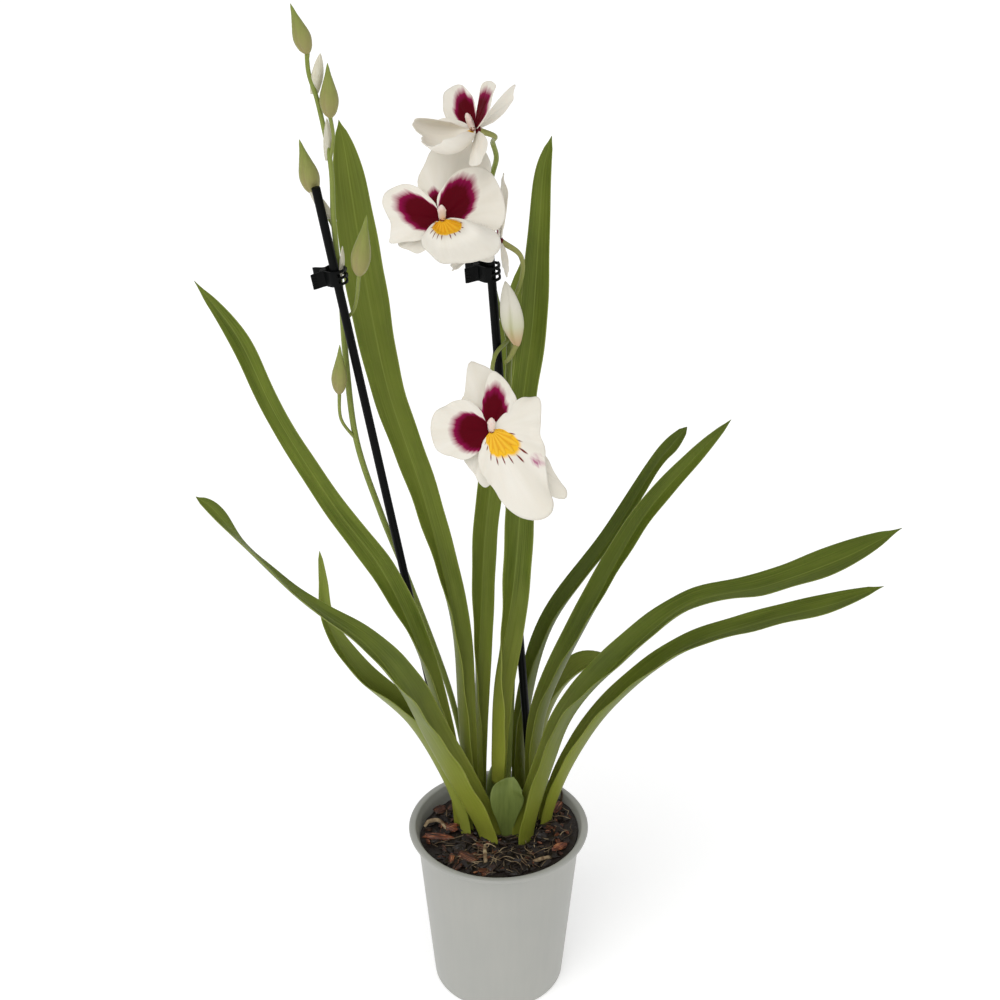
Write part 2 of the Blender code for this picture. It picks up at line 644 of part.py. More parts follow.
def make_bloom(name, centre, facing, blades, materials, plant):
    """The petals in one piece, the crest on the lip, and the column, in the bloom's own frame."""
    frame = bloom_frame(centre, facing)
    middle = anchor(name, frame, plant)
    petal_white, crest_yellow, column_pink = materials
    half = PETAL_THICKNESS / 2
    core = ball("core", (0.0, 0.0, -0.0002), (0.0044, 0.0044, 0.0033), 9, 5)
    sheets = []
    for blade in blades:
        rows = [[(s, u) for u in BLADE_COLUMNS[blade[0]]] for s in BLADE_SHARES]
        sheets.append(sheet("blade", blade, rows, -half, [half]))
    finish(combine(core, sheets, "UNION"), name + "_petals", petal_white, middle)
    lip = blades[-1]
    rows = []
    for s, share in CREST_ROWS:
        reach = share * lip[2] / (lip[3] / 2 * fullness_of("lip", s))
        rows.append([(s, reach * u) for u in CREST_COLUMNS])
    low = half + 1.5 * GAP
    crest = sheet("crest", lip, rows, low, [low + rise for rise in CREST_RIDGES])
    finish(crest, name + "_crest", crest_yellow, middle)
    lean = Matrix.Rotation(math.radians(-24), 3, "X")
    column = ball("column", (0.0, 0.0029, 0.0078), (0.0023, 0.0020, 0.0046), 8, 5, lean)
    finish(column, name + "_column", column_pink, middle)
    return frame


# The opening bud: narrow white petals still rolled together.

OPENING_BUD = (Vector((0.011, -0.001, 0.470)), Vector((0.004, -0.006, 0.511)), 0.0062)
OPENING_PROFILE = ((0.0, 0.25), (0.1, 0.55), (0.3, 0.95), (0.5, 1.0), (0.7, 0.8), (0.88, 0.45), (1.0, 0.12))


def make_opening_bud(material, plant):
    name = "opening_bud"
    base, tip, radius = OPENING_BUD
    bud = make_bud(name, base, tip, radius, OPENING_PROFILE, 0.8)
    return finish(bud, name, material, plant, base)


# The stakes: straight black rods pushed down into the medium.

LEFT_STAKE = ((-0.0110, 0.027, 0.020), (-0.103, 0.016, 0.559))
RIGHT_STAKE = ((0.0284, 0.0292, 0.050), (-0.006, 0.004, 0.540))


def make_stake(name, ends, material, plant):
    foot, head = Vector(ends[0]), Vector(ends[1])
    along = (head - foot).normalized()
    route = [foot, foot + 0.010 * along, head - 0.001 * along, head]
    rod = tube(name, route, [STAKE_RADIUS] * 4, 12, 3)
    return finish(rod, name, material, plant, foot)


# The clips: two sprung jaws on a pin, with fingers that pass between one another round stake and stem.
# Each is drawn about its pin: +X runs from the pin to the fingers and Z runs up the stake.

CLIP_ARM = [(-0.0067, -0.0062), (0.0, -0.0031), (0.0025, -0.0048), (0.0050, -0.0068), (0.0087, -0.0071)]
CLIP_FINGER = [(0.0083, -0.0071), (0.0111, -0.0060), (0.0129, -0.0030), (0.0125, 0.0018)]
FINGER_HEIGHT = 0.0015
FRONT_FINGERS = (-0.0037, 0.0, 0.0037)
BACK_FINGERS = (-0.00185, 0.00185)
FRONT_KNUCKLES = ((-0.0030, -0.0018), (0.0018, 0.0030))
BACK_KNUCKLES = ((-0.0046, -0.0033), (0.0033, 0.0046))
SPRING_HALF = 0.0014
LEFT_PIN = (-0.1010, 0.0205, 0.5040)
RIGHT_PIN = (-0.0122, 0.0085, 0.5120)


def strip(name, route, side, low, high):
    """A strip of the clip's wall along a route in plan, between two heights. Side -1 mirrors it."""
    centres = [Vector((x, side * y, 0.0)) for x, y in route]
    left, right = [], []
    for k, centre in enumerate(centres):
        along = (centres[min(k + 1, len(centres) - 1)] - centres[max(k - 1, 0)]).normalized()
        out = Vector((-along.y, along.x, 0.0)) * CLIP_WALL / 2
        left.append(centre + out)
        right.append(centre - out)
    outline = left + right[::-1]
    count = len(outline)
    points = [p + Vector((0, 0, low)) for p in outline] + [p + Vector((0, 0, high)) for p in outline]
    faces = []
    last = len(route)
    for k in range(last - 1):
        a, b, c, d = k, k + 1, count - 2 - k, count - 1 - k
        faces += [(a, b, c, d), (count + d, count + c, count + b, count + a)]
    for k in range(count):
        j = (k + 1) % count
        faces.append((k, j, count + j, count + k))
    return solid(name, points, faces, smooth=False)


def block(name, low, high):
    xs, ys, zs = zip(low, high)
    points = [Vector((x, y, z)) for x in xs for y in ys for z in zs]
    faces = [(0, 1, 3, 2), (4, 6, 7, 5), (0, 4, 5, 1), (2, 3, 7, 6), (0, 2, 6, 4), (1, 5, 7, 3)]
    return solid(name, points, faces, smooth=False)


def upright(name, radius, low, high):
    return tube(name, [(0.0, 0.0, low), (0.0, 0.0, high)], [radius] * 2, 10, 1)


def make_jaw(name, side, knuckles, fingers, with_pin, material, pin):
    """Side 1 is the front jaw, -1 the back one."""
    half = CLIP_HEIGHT / 2
    reach = FINGER_HEIGHT / 2
    jaw = strip(name, CLIP_ARM, side, -half, half)
    pieces = [strip("finger", CLIP_FINGER, side, level - reach, level + reach) for level in fingers]
    for low, high in knuckles:
        pieces.append(upright("knuckle", CLIP_KNUCKLE_RADIUS, low, high))
        y0, y1 = sorted((-side * 0.0031, -side * 0.0013))
        pieces.append(block("web", (-0.0009, y0, low), (0.0009, y1, high)))
    if with_pin:
        pieces.append(upright("pin", CLIP_PIN_RADIUS, -half + 0.0002, half - 0.0002))
    jaw = combine(jaw, pieces, "UNION")
    if not with_pin:
        bore = upright("bore", CLIP_PIN_RADIUS + CLIP_PIN_GAP, -half - 0.001, half + 0.001)
        jaw = combine(jaw, [bore], "DIFFERENCE")
    return finish(jaw, name, material, pin)


def make_spring(name, material, pin):
    """The coil round the pin, turned as a ring with a wavy outside."""
    turns = 2
    inner = CLIP_PIN_RADIUS + CLIP_PIN_GAP
    profile = [(inner, -SPRING_HALF), (inner, SPRING_HALF)]
    for k in range(2 * turns + 1):
        height = SPRING_HALF * (1 - k / turns)
        profile.append((0.0019 if k % 2 else 0.0015, height))
    sides = 10
    points, faces = [], []
    for radius, height in profile:
        for i in range(sides):
            turn = 2 * math.pi * i / sides
            points.append(Vector((radius * math.cos(turn), radius * math.sin(turn), height)))
    rows = len(profile)
    for k in range(rows):
        after = (k + 1) % rows
        for i in range(sides):
            j = (i + 1) % sides
            faces.append((k * sides + i, k * sides + j, after * sides + j, after * sides + i))
    return finish(solid(name, points, faces), name, material, pin)


def make_clip(name, pin_at, stake, plastic, steel, plant):
    """Both jaws and the spring about the pin."""
    along = (Vector(stake[1]) - Vector(stake[0])).normalized()
    right = (Vector((1, 0, 0)) - along * along.x).normalized()
    turn = Matrix((right, along.cross(right), along)).transposed()
    pin = anchor(name + "_pin", Matrix.Translation(Vector(pin_at)) @ turn.to_4x4(), plant)
    make_jaw(name + "_back_jaw", -1, BACK_KNUCKLES, BACK_FINGERS, True, plastic, pin)
    make_jaw(name + "_front_jaw", 1, FRONT_KNUCKLES, FRONT_FINGERS, False, plastic, pin)
    make_spring(name + "_spring", steel, pin)


# The medium: bark in the pot, lower at the back left, with chips on it and holes for what stands in it.

ROOTS = {
    "root_front": [
        (-0.009, -0.012, 0.1130), (-0.009, -0.019, 0.1185), (-0.0085, -0.032, 0.1190),
        (-0.0075, -0.046, 0.1165),
    ],
    "root_left": [
        (-0.0500, 0.007, 0.1155), (-0.047, 0.009, 0.1185), (-0.040, 0.009, 0.1190),
        (-0.034, 0.004, 0.1140),
    ],
    "root_right": [
        (0.016, -0.036, 0.1140), (0.022, -0.034, 0.1185), (0.031, -0.030, 0.1190),
        (0.039, -0.024, 0.1145),
    ],
}


def medium_level(x, y):
    back_left = (-0.6 * x + 0.8 * y) / 0.05
    return MEDIUM_LEVEL - MEDIUM_SLOPE * max(-0.6, min(1.0, back_left))


def bark_base(rng):
    """The filling of the pot with a rough top."""
    sides, rings = 22, 4
    low = POT_FLOOR + GAP
    edge_low = wall_radius_at(POT_FLOOR + 0.002) - POT_WALL - GAP - 0.0014
    points = [Vector((0, 0, low))]
    for radius, height in ((edge_low, low), (edge_low + 0.0013, low + 0.003)):
        for i in range(sides):
            turn = 2 * math.pi * i / sides
            points.append(Vector((radius * math.cos(turn), radius * math.sin(turn), height)))
    for ring in range(rings, 0, -1):
        for i in range(sides):
            turn = 2 * math.pi * (i + 0.5 * (ring % 2)) / sides
            rough = rng.uniform(-0.0010, 0.0014) if ring < rings else 0.0
            share = ring / rings
            edge = wall_radius_at(0.112) - POT_WALL - GAP - 0.0003
            x, y = edge * share * math.cos(turn), edge * share * math.sin(turn)
            points.append(Vector((x, y, medium_level(x, y) + rough)))
    points.append(Vector((0, 0, medium_level(0, 0))))
    top = len(points) - 1
    faces = []
    rows = rings + 2
    for i in range(sides):
        j = (i + 1) % sides
        faces.append((0, 1 + j, 1 + i))
        for k in range(rows - 1):
            a, b = 1 + k * sides + i, 1 + k * sides + j
            faces += [(a, b, b + sides), (a, b + sides, a + sides)]
        last = 1 + (rows - 1) * sides
        faces.append((top, last + i, last + j))
    return solid("growing_medium", points, faces, smooth=False)


def bark_chip(rng):
    """A flake of bark lying half sunk in the surface."""
    reach = rng.uniform(0.006, 0.042)
    around = rng.uniform(0, 2 * math.pi)
    x, y = reach * math.cos(around), reach * math.sin(around)
    sizes = (rng.uniform(0.004, 0.0075), rng.uniform(0.0025, 0.0045), rng.uniform(0.0012, 0.0022))
    turn = Matrix.Rotation(rng.uniform(0, math.pi), 3, "Z")
    turn = turn @ Matrix.Rotation(rng.uniform(-0.35, 0.35), 3, "X")
    turn = turn @ Matrix.Rotation(rng.uniform(-0.3, 0.3), 3, "Y")
    outline = [(-1, -0.7), (-0.2, -1), (0.8, -0.8), (1, 0.1), (0.5, 1), (-0.6, 0.8)]
    centre = Vector((x, y, medium_level(x, y) + 0.0004))
    rings = []
    for level, shrink in ((-1, 0.85), (0.2, 1.0), (1, 0.8)):
        ring = []
        for a, b in outline:
            a, b = a * rng.uniform(0.85, 1.1), b * rng.uniform(0.85, 1.1)
            corner = Vector((sizes[0] * a * shrink, sizes[1] * b * shrink, sizes[2] * level))
            ring.append(centre + turn @ corner)
        rings.append(ring)
    points, faces = skin(rings)
    return solid("chip", points, faces, smooth=False)


def foot_hole(obj):
    """A plain hole round what stands in the medium."""
    corners = [obj.location + v.co for v in obj.data.vertices]
    below = []
    for corner in corners:
        for k in range(6):
            turn = math.pi * k / 3
            if corner.z < HOLE_TOP:
                below.append(corner.to_2d() + 1.6 * GAP * Vector((math.cos(turn), math.sin(turn))))
    outline = []
    for i in geometry.convex_hull_2d(below):
        if not outline or (below[i] - outline[-1]).length > 0.0006:
            outline.append(below[i])
    low = min(corner.z for corner in corners) - GAP
    points = [Vector((p.x, p.y, z)) for z in (low, HOLE_TOP) for p in outline]
    count = len(outline)
    faces = [tuple(range(count - 1, -1, -1)), tuple(range(count, 2 * count))]
    faces += [(k, (k + 1) % count, count + (k + 1) % count, count + k) for k in range(count)]
    return solid("foot_hole", points, faces, smooth=False)


def stake_hole(ends):
    foot, head = Vector(ends[0]), Vector(ends[1])
    along = (head - foot).normalized()
    reach = (HOLE_TOP - foot.z) / along.z
    return tube("stake_hole", [foot - GAP * along, foot + reach * along], [STAKE_RADIUS + GAP] * 2, 12, 1)


def make_medium(standing, material, plant):
    rng = random.Random(7)
    medium = bark_base(rng)
    medium = combine(medium, [bark_chip(rng) for _ in range(BARK_CHIPS)], "UNION")
    holes = [foot_hole(obj) for obj in standing]
    holes += [stake_hole(ends) for ends in (LEFT_STAKE, RIGHT_STAKE)]
    for route in ROOTS.values():
        first, second, third, last = (Vector(p) for p in route)
        first += GAP * (first - second).normalized()
        last += GAP * (last - third).normalized()
        holes.append(tube("groove", [first, second, third, last], [0.0013 + GAP] * 4, 6, 8))
    medium = without_crumbs(combine(medium, holes, "DIFFERENCE"))
    return finish(medium, "growing_medium", material, plant)


BEHIND_BACK = (0.0054, -0.0135, 0.5370)
BUD_FOOT = (0.0105, -0.0013, 0.4682)


def stalks_of(frames):
    """The routes of the stalks from the stem to the back of each bloom, given the blooms' frames by name."""
    low, middle, top = [
        (frame @ Vector((0, 0, -0.014)), frame @ Vector((0, 0, -0.0042)))
        for name, frame in frames.items()
        if name != "bloom_behind"
    ]
    return [
        [(0.006, 0.013, 0.468), (-0.003, -0.010, 0.463), *low],
        [(-0.006, 0.009, 0.556), (-0.014, -0.010, 0.566), *middle],
        [(0.004, 0.012, 0.482), (0.013, 0.004, 0.508), (0.0125, -0.008, 0.527), BEHIND_BACK],
        [(-0.002, -0.008, 0.588), (-0.003, -0.014, 0.594), *top],
        [(0.006, 0.0135, 0.455), (0.0045, 0.005, 0.457), (0.007, -0.0015, 0.463), BUD_FOOT],
    ]


def build():
    clear_scene()
    pot_plastic = surface("pale grey pot plastic", "A9AAA6", 0.45)
    leaf_green = surface("leaf green", "5C6B25", 0.42)
    bulb_green = surface("grey green bulb", "76824A", 0.5)
    stem_green = surface("stem green", "86963F", 0.45)
    petal_white = surface("cream white petal", "E6E2D6", 0.5)
    crest_yellow = surface("yellow crest", "F0B81E", 0.5)
    column_pink = surface("pale pink column", "E3CFC6", 0.5)
    black_plastic = surface("black plastic", "0C0D0E", 0.4)
    spring_steel = surface("spring steel", "8E8E8C", 0.35, 1.0)
    bark = surface("damp bark", "1E120C", 0.85)
    root_tan = surface("dry root", "A8946A", 0.8)

    plant = anchor("orchid_in_pot")
    make_pot(pot_plastic, plant)
    standing = []
    for name, rows in LEAVES.items():
        leaf = make_leaf(name, rows, leaf_green, plant)
        if rows[0][2] == FOOT_LEVEL:
            standing.append(leaf)
    for name, (centre, sizes) in BULBS.items():
        standing.append(make_bulb(name, centre, sizes, bulb_green, plant))
    petals = (petal_white, crest_yellow, column_pink)
    frames = {name: make_bloom(name, *made, petals, plant) for name, made in BLOOMS.items()}
    standing.append(make_left_spike(stem_green, plant))
    standing.append(make_right_spike(stalks_of(frames), stem_green, plant))
    make_opening_bud(petal_white, plant)
    make_stake("left_stake", LEFT_STAKE, black_plastic, plant)
    make_stake("right_stake", RIGHT_STAKE, black_plastic, plant)
    make_clip("left_clip", LEFT_PIN, LEFT_STAKE, black_plastic, spring_steel, plant)
    make_clip("right_clip", RIGHT_PIN, RIGHT_STAKE, black_plastic, spring_steel, plant)
    for name, route in ROOTS.items():
        root = tube(name, route, [0.0009, 0.0013, 0.0013, 0.0008], 6, 8)
        finish(root, name, root_tan, plant, route[0])
    make_medium(standing, bark, plant)


build()
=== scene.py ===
"""A pansy orchid in its grower's pot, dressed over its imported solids. Metres, +Z up, -Y the shown side."""
import math
import random

import bmesh
import bpy
from mathutils import Matrix, Vector, noise


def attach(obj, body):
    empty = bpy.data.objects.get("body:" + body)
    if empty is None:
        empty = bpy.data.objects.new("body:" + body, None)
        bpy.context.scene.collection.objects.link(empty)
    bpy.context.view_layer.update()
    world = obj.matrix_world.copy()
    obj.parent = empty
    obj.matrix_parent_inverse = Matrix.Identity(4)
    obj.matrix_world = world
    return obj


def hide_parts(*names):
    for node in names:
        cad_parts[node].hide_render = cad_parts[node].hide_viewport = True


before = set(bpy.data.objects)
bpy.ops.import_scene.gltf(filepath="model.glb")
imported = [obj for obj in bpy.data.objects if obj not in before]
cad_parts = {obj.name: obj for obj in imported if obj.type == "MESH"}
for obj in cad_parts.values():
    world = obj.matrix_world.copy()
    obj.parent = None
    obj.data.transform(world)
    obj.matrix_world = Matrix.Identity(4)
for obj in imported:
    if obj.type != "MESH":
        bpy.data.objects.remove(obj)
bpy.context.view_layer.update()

# ---------------------------------------------------------------------------------------------
# The pot: a thin tapered grower's pot, injection moulded in pale grey polypropylene, with a rolled
# rim to lift it by, a rounded foot and drain holes in its floor.

POT_TALL = 0.124
RIM_RADIUS = 0.06
RIM_INNER_RADIUS = 0.0552
RIM_DROP = 0.0036
UNDER_RIM = POT_TALL - RIM_DROP
WALL_TOP_RADIUS = 0.0547
FOOT_RADIUS = 0.044
WALL = 0.0013
FLOOR = 0.0025
DRAIN_HOLES = 6
DRAIN_CIRCLE = 0.026
DRAIN_RADIUS = 0.0035
DRAIN_SIDES = 24


def linear(hex_colour):
    """An sRGB hex colour as linear RGBA."""
    parts = [int(hex_colour[i:i + 2], 16) / 255 for i in (0, 2, 4)]
    return [c / 12.92 if c <= 0.04045 else ((c + 0.055) / 1.055) ** 2.4 for c in parts] + [1.0]


def plug(node, sockets):
    """Fills a node's sockets: a value is set on the socket, and another node's output is linked to it."""
    for name, value in sockets.items():
        if isinstance(value, bpy.types.NodeSocket):
            node.id_data.links.new(value, node.inputs[name])
        else:
            node.inputs[name].default_value = value


def add(tree, kind, sockets, output=0, **settings):
    """Adds a node with its properties and sockets, and gives the output of it that is used."""
    node = tree.nodes.new("ShaderNode" + kind)
    for name, value in settings.items():
        setattr(node, name, value)
    plug(node, sockets)
    return node.outputs[output]


def streaks(tree, scale, detail, place=None):
    """Noise stretched by a scale for each axis, in the object's own space unless a place is given."""
    if place is None:
        place = add(tree, "TexCoord", {}, "Object")
    drawn = add(tree, "Mapping", {"Vector": place, "Scale": scale})
    return add(tree, "TexNoise", {"Vector": drawn, "Scale": 1.0, "Detail": detail})


def material(name, **values):
    """A Principled material with its own values on the sockets named, and its tree."""
    made = bpy.data.materials.new(name)
    made.use_nodes = True
    shader = made.node_tree.nodes["Principled BSDF"]
    plug(shader, {socket.replace("_", " "): value for socket, value in values.items()})
    return made, made.node_tree


def dress(made, ground, *layers, relief=None, rough=None):
    """Finishes a material with colours laid over a ground. Of each: the value it follows, where that starts
    and fills it, how much of it shows when full, and its hex colour. Relief is a height, its strength and
    its depth. Roughness is a value, its span, and how rough either end is."""
    tree, colour = made.node_tree, linear(ground)
    for value, start, full, most, over in layers:
        mask = add(tree, "MapRange", {"Value": value, "From Min": start, "From Max": full, "To Max": most})
        colour = add(tree, "Mix", {0: mask, 6: colour, 7: linear(over)}, 2, data_type="RGBA")
    sockets = {"Base Color": colour}
    if relief:
        sockets["Normal"] = add(tree, "Bump", dict(zip(("Height", "Strength", "Distance"), relief)))
    if rough:
        sockets["Roughness"] = add(tree, "MapRange", dict(enumerate(rough)))
    plug(tree.nodes["Principled BSDF"], sockets)
    return made


def moulded_polypropylene():
    """Polypropylene straight from the mould: satin, a little cloudy, with faint marks where it flowed."""
    made, tree = material("moulded polypropylene", IOR=1.49)
    place = add(tree, "TexCoord", {}, "Object")
    cloud = add(tree, "TexNoise", {"Vector": place, "Scale": 22.0, "Detail": 3.0})
    flow = streaks(tree, (260.0, 260.0, 9.0), 2.0)
    grain = add(tree, "TexNoise", {"Vector": place, "Scale": 900.0, "Detail": 2.0})
    return dress(
        made, "9FA09B", (cloud, 0, 1, 1, "ACABA4"), (flow, 0, 1, 0.35, "969894"),
        relief=(grain, 0.1, 0.0003), rough=(cloud, 0, 1, 0.36, 0.5))


def piece(name, points, faces, skin, slot, stands_for=(), body="plant", **marks):
    """A smooth mesh piece that rides on a body and stands for some of the solids. Each mark is a number, or
    three, for every point, for its material to read."""
    mesh = bpy.data.meshes.new(name)
    mesh.from_pydata([tuple(p) for p in points], [], faces)
    mesh.shade_smooth()
    mesh.materials.append(skin)
    for mark, values in marks.items():
        if isinstance(values[0], (tuple, Vector)):
            flat = [x for value in values for x in value]
            mesh.attributes.new(mark, "FLOAT_VECTOR", "POINT").data.foreach_set("vector", flat)
        else:
            mesh.attributes.new(mark, "FLOAT", "POINT").data.foreach_set("value", values)
    made = bpy.data.objects.new(name, mesh)
    bpy.context.scene.collection.objects.link(made)
    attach(made, body)
    if stands_for:
        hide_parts(*stands_for)
    return made


def circle(sides):
    """Corners evenly round a circle of radius one."""
    turns = [2 * math.pi * i / sides for i in range(sides)]
    return [(math.cos(turn), math.sin(turn)) for turn in turns]


def ring_faces(rows, sides, capped=False):
    """Faces from each ring of points to the next and, if capped, over the first and last ring."""
    faces = [tuple(range(sides))[::-1], tuple(range(rows * sides, (rows + 1) * sides))] if capped else []
    for k in range(0, rows * sides, sides):
        for i in range(sides):
            j = (i + 1) % sides
            faces.append((k + i, k + j, k + sides + j, k + sides + i))
    return faces


def turned(profile, sides, capped=False):
    """Points and faces turned about Z from a profile of radius and height."""
    points = [Vector((radius * x, radius * y, height)) for radius, height in profile for x,
              y in circle(sides)]
    return points, ring_faces(len(profile) - 1, sides, capped)


def pile(heap, points, faces, *marks):
    """Adds points, faces and marks to a heap for one piece. A mark is a list, or one value for all."""
    first = len(heap[0])
    heap[0].extend(points)
    heap[1].extend(tuple(first + i for i in face) for face in faces)
    for kept, values in zip(heap[2:], marks):
        kept.extend(values if isinstance(values, list) else [values] * len(points))


def wall_outside(height):
    """Radius of the outside of the tapered wall."""
    return FOOT_RADIUS + (WALL_TOP_RADIUS - FOOT_RADIUS) * height / UNDER_RIM


def wall_inside(height):
    """Radius of the inside of the wall."""
    return wall_outside(height) - WALL


def drill_drain_holes(pot):
    """Cuts the ring of drain holes through the floor."""
    heap = ([], [])
    points, faces = turned([(DRAIN_RADIUS, -FLOOR), (DRAIN_RADIUS, 2 * FLOOR)], DRAIN_SIDES, True)
    for k in range(DRAIN_HOLES):
        turn = 2 * math.pi * (k + 0.5) / DRAIN_HOLES
        place = Vector((DRAIN_CIRCLE * math.cos(turn), DRAIN_CIRCLE * math.sin(turn), 0.0))
        pile(heap, [place + point for point in points], faces)
    mesh = bpy.data.meshes.new("drills")
    mesh.from_pydata([tuple(p) for p in heap[0]], [], heap[1])
    drills = bpy.data.objects.new("drills", mesh)
    bpy.context.scene.collection.objects.link(drills)
    cut = pot.modifiers.new("drain holes", "BOOLEAN")
    cut.operation, cut.solver, cut.object = "DIFFERENCE", "EXACT", drills
    bpy.context.view_layer.update()
    drilled = bpy.data.meshes.new_from_object(pot.evaluated_get(bpy.context.evaluated_depsgraph_get()))
    pot.modifiers.clear()
    pot.data = drilled
    bpy.data.objects.remove(drills)


def make_pot():
    """Turns the pot from one profile: under the foot, up the wall, over the rim and down the inside."""
    profile = [
        (0.0, 0.0004), (DRAIN_CIRCLE, 0.0004), (FOOT_RADIUS - 0.006, 0.0004), (FOOT_RADIUS - 0.0045, 0.0),
        (FOOT_RADIUS - 0.0018, 0.0), (FOOT_RADIUS - 0.0006, 0.0006), (FOOT_RADIUS + 0.0001, 0.002),
    ]
    for share in (0.1, 0.3, 0.5, 0.7, 0.9, 0.985):
        height = 0.0022 + share * (UNDER_RIM - 0.0027)
        profile.append((wall_outside(height), height))
    profile += [
        (WALL_TOP_RADIUS + 0.0001, UNDER_RIM - 0.0016), (WALL_TOP_RADIUS + 0.0009, UNDER_RIM - 0.0006),
        (RIM_RADIUS - 0.0024, UNDER_RIM + 0.0002), (RIM_RADIUS - 0.0009, UNDER_RIM + 0.0008),
        (RIM_RADIUS - 0.0002, UNDER_RIM + 0.0016), (RIM_RADIUS, POT_TALL - 0.0013),
        (RIM_RADIUS - 0.0003, POT_TALL - 0.0006), (RIM_RADIUS - 0.0012, POT_TALL),
        (RIM_INNER_RADIUS + 0.0012, POT_TALL), (RIM_INNER_RADIUS + 0.0003, POT_TALL - 0.0004),
        (RIM_INNER_RADIUS, POT_TALL - 0.0012), (wall_inside(UNDER_RIM) + 0.0003, UNDER_RIM - 0.0004),
        (wall_inside(UNDER_RIM - 0.003), UNDER_RIM - 0.003),
        (FOOT_RADIUS - WALL + 0.0003, FLOOR + 0.0015), (FOOT_RADIUS - WALL - 0.0014, FLOOR), (0.0, FLOOR),
    ]
    pot = piece("grower_pot", *turned(profile, 144), moulded_polypropylene(), "pot", ["pot"])
    shape = bmesh.new()
    shape.from_mesh(pot.data)
    bmesh.ops.remove_doubles(shape, verts=shape.verts, dist=1e-6)
    bmesh.ops.recalc_face_normals(shape, faces=shape.faces)
    shape.to_mesh(pot.data)
    shape.free()
    drill_drain_holes(pot)
    pot.data.set_sharp_from_angle(angle=math.radians(55))


make_pot()

# ---------------------------------------------------------------------------------------------
# The medium: composted pine bark, chipped and bagged damp, with fine dead roots on it. The pot is
# filled to just under the rim, a little lower at the back left.

MEDIUM_LEVEL = 0.1165
MEDIUM_SLOPE = 0.0035
MEDIUM_HEAP = 0.0034
BED_FOOT = 0.0035
BED_SHOULDER = 0.108
BED_GAP = 0.0003
BED_EDGE = 0.053
BED_SUNK = 0.0008
# Of each roughness of the bed: its height, its scale, and its layer of noise.
BED_ROUGH = ((0.0016, 160, 0.0), (0.0009, 420, 9.0))
BARK_CHIPS = 470
CHIP_REACH = 0.0515
FINE_ROOTS = 150
FINE_ROOT_STEP = 0.0042
FINE_ROOT_REACH = 0.05
TANGLE_SPREAD = 0.006
# Of each large flake: its place, its half sizes, its heading in degrees and how far it has split.
FLAKES = [
    ((-0.0405, -0.0062), (0.0115, 0.003, 0.001), -9, 1.00),
    ((-0.0305, 0.0045), (0.0052, 0.0038, 0.0013), 20, 0.95),
    ((-0.04, 0.026), (0.0055, 0.0038, 0.0016), 40, 0.62),
    ((0.04, -0.021), (0.0062, 0.003, 0.0012), 32, 1.00),
    ((0.04, 0.02), (0.007, 0.0032, 0.0014), 65, 0.8),
    ((-0.02, -0.03), (0.009, 0.004, 0.0012), -35, 0.66),
]
ROOT_TANGLES = [(0.034, 0.004), (0.022, -0.032), (-0.02, -0.034), (-0.04, 0.024), (0.04, 0.02),
                (0.0, -0.028)]
TWIG = [(0.0425, 0.03, 0.119), (0.0435, 0.0312, 0.1235), (0.0428, 0.032, 0.1275), (0.0412, 0.0322,
                                                                                       0.13)]
bark_seed = random.Random(11)


def medium_level(x, y):
    """Height of the filling: heaped against the right of the rim, low at the back left."""
    back_left = max(-0.4, min(1.2, (-0.6 * x + 0.8 * y) / 0.05))
    heaped = max(0.0, min(1.0, (0.9 * x + 0.3 * y - 0.022) / 0.02))
    return MEDIUM_LEVEL - MEDIUM_SLOPE * back_left + MEDIUM_HEAP * heaped


def damp_pine_bark():
    """Pine bark, composted and wet: nearly black, with red and tan fibres where a flake has split."""
    made, tree = material("damp pine bark", IOR=1.5)
    tone = add(tree, "Attribute", {}, "Fac", attribute_name="tone")
    grain = add(tree, "Attribute", {}, "Vector", attribute_name="grain")
    place = add(tree, "TexCoord", {}, "Object")
    damp = add(tree, "TexNoise", {"Vector": place, "Scale": 300.0, "Detail": 4.0})
    fibre = streaks(tree, (130.0, 1300.0, 900.0), 4.0, grain)
    split = add(tree, "MapRange", {"Value": tone, "From Min": 0.45, "From Max": 0.95})
    return dress(
        made, "0A0604", (damp, 0, 1, 1, "24160E"), (fibre, 0.34, 0.6, split, "7C3D20"),
        (fibre, 0.56, 0.68, split, "B98358"), relief=(fibre, 0.8, 0.0007),
        rough=(damp, 0.35, 0.65, 0.32, 0.8))


def dead_root():
    """A dead root: a dry tan skin over a wiry core, dark brown where it is wet."""
    made, tree = material("dead root skin", IOR=1.45, Roughness=0.75)
    tone = add(tree, "Attribute", {}, "Fac", attribute_name="tone")
    place = add(tree, "TexCoord", {}, "Object")
    patch = add(tree, "TexNoise", {"Vector": place, "Scale": 160.0, "Detail": 3.0})
    return dress(
        made, "6A523A", (patch, 0.4, 0.62, 1, "B9A482"), (tone, 1, 0, 1, "24170E"),
        relief=(patch, 0.5, 0.0006))


def through(rows, steps):
    """Rows of numbers read at even steps along a smooth curve through the given rows."""
    padded = [[2 * a - b for a, b in zip(rows[0], rows[1])]] + [list(r) for r in rows]
    padded.append([2 * a - b for a, b in zip(rows[-1], rows[-2])])
    read = []
    for step in range(steps + 1):
        at = step / steps * (len(rows) - 1)
        k = min(int(at), len(rows) - 2)
        t = at - k
        read.append([
            0.5 * (2 * b + (c - a) * t + (2 * a - 5 * b + 4 * c - d) * t * t
                   + (3 * b - a - 3 * c + d) * t ** 3)
            for a, b, c, d in zip(*padded[k:k + 4])
        ])
    return read


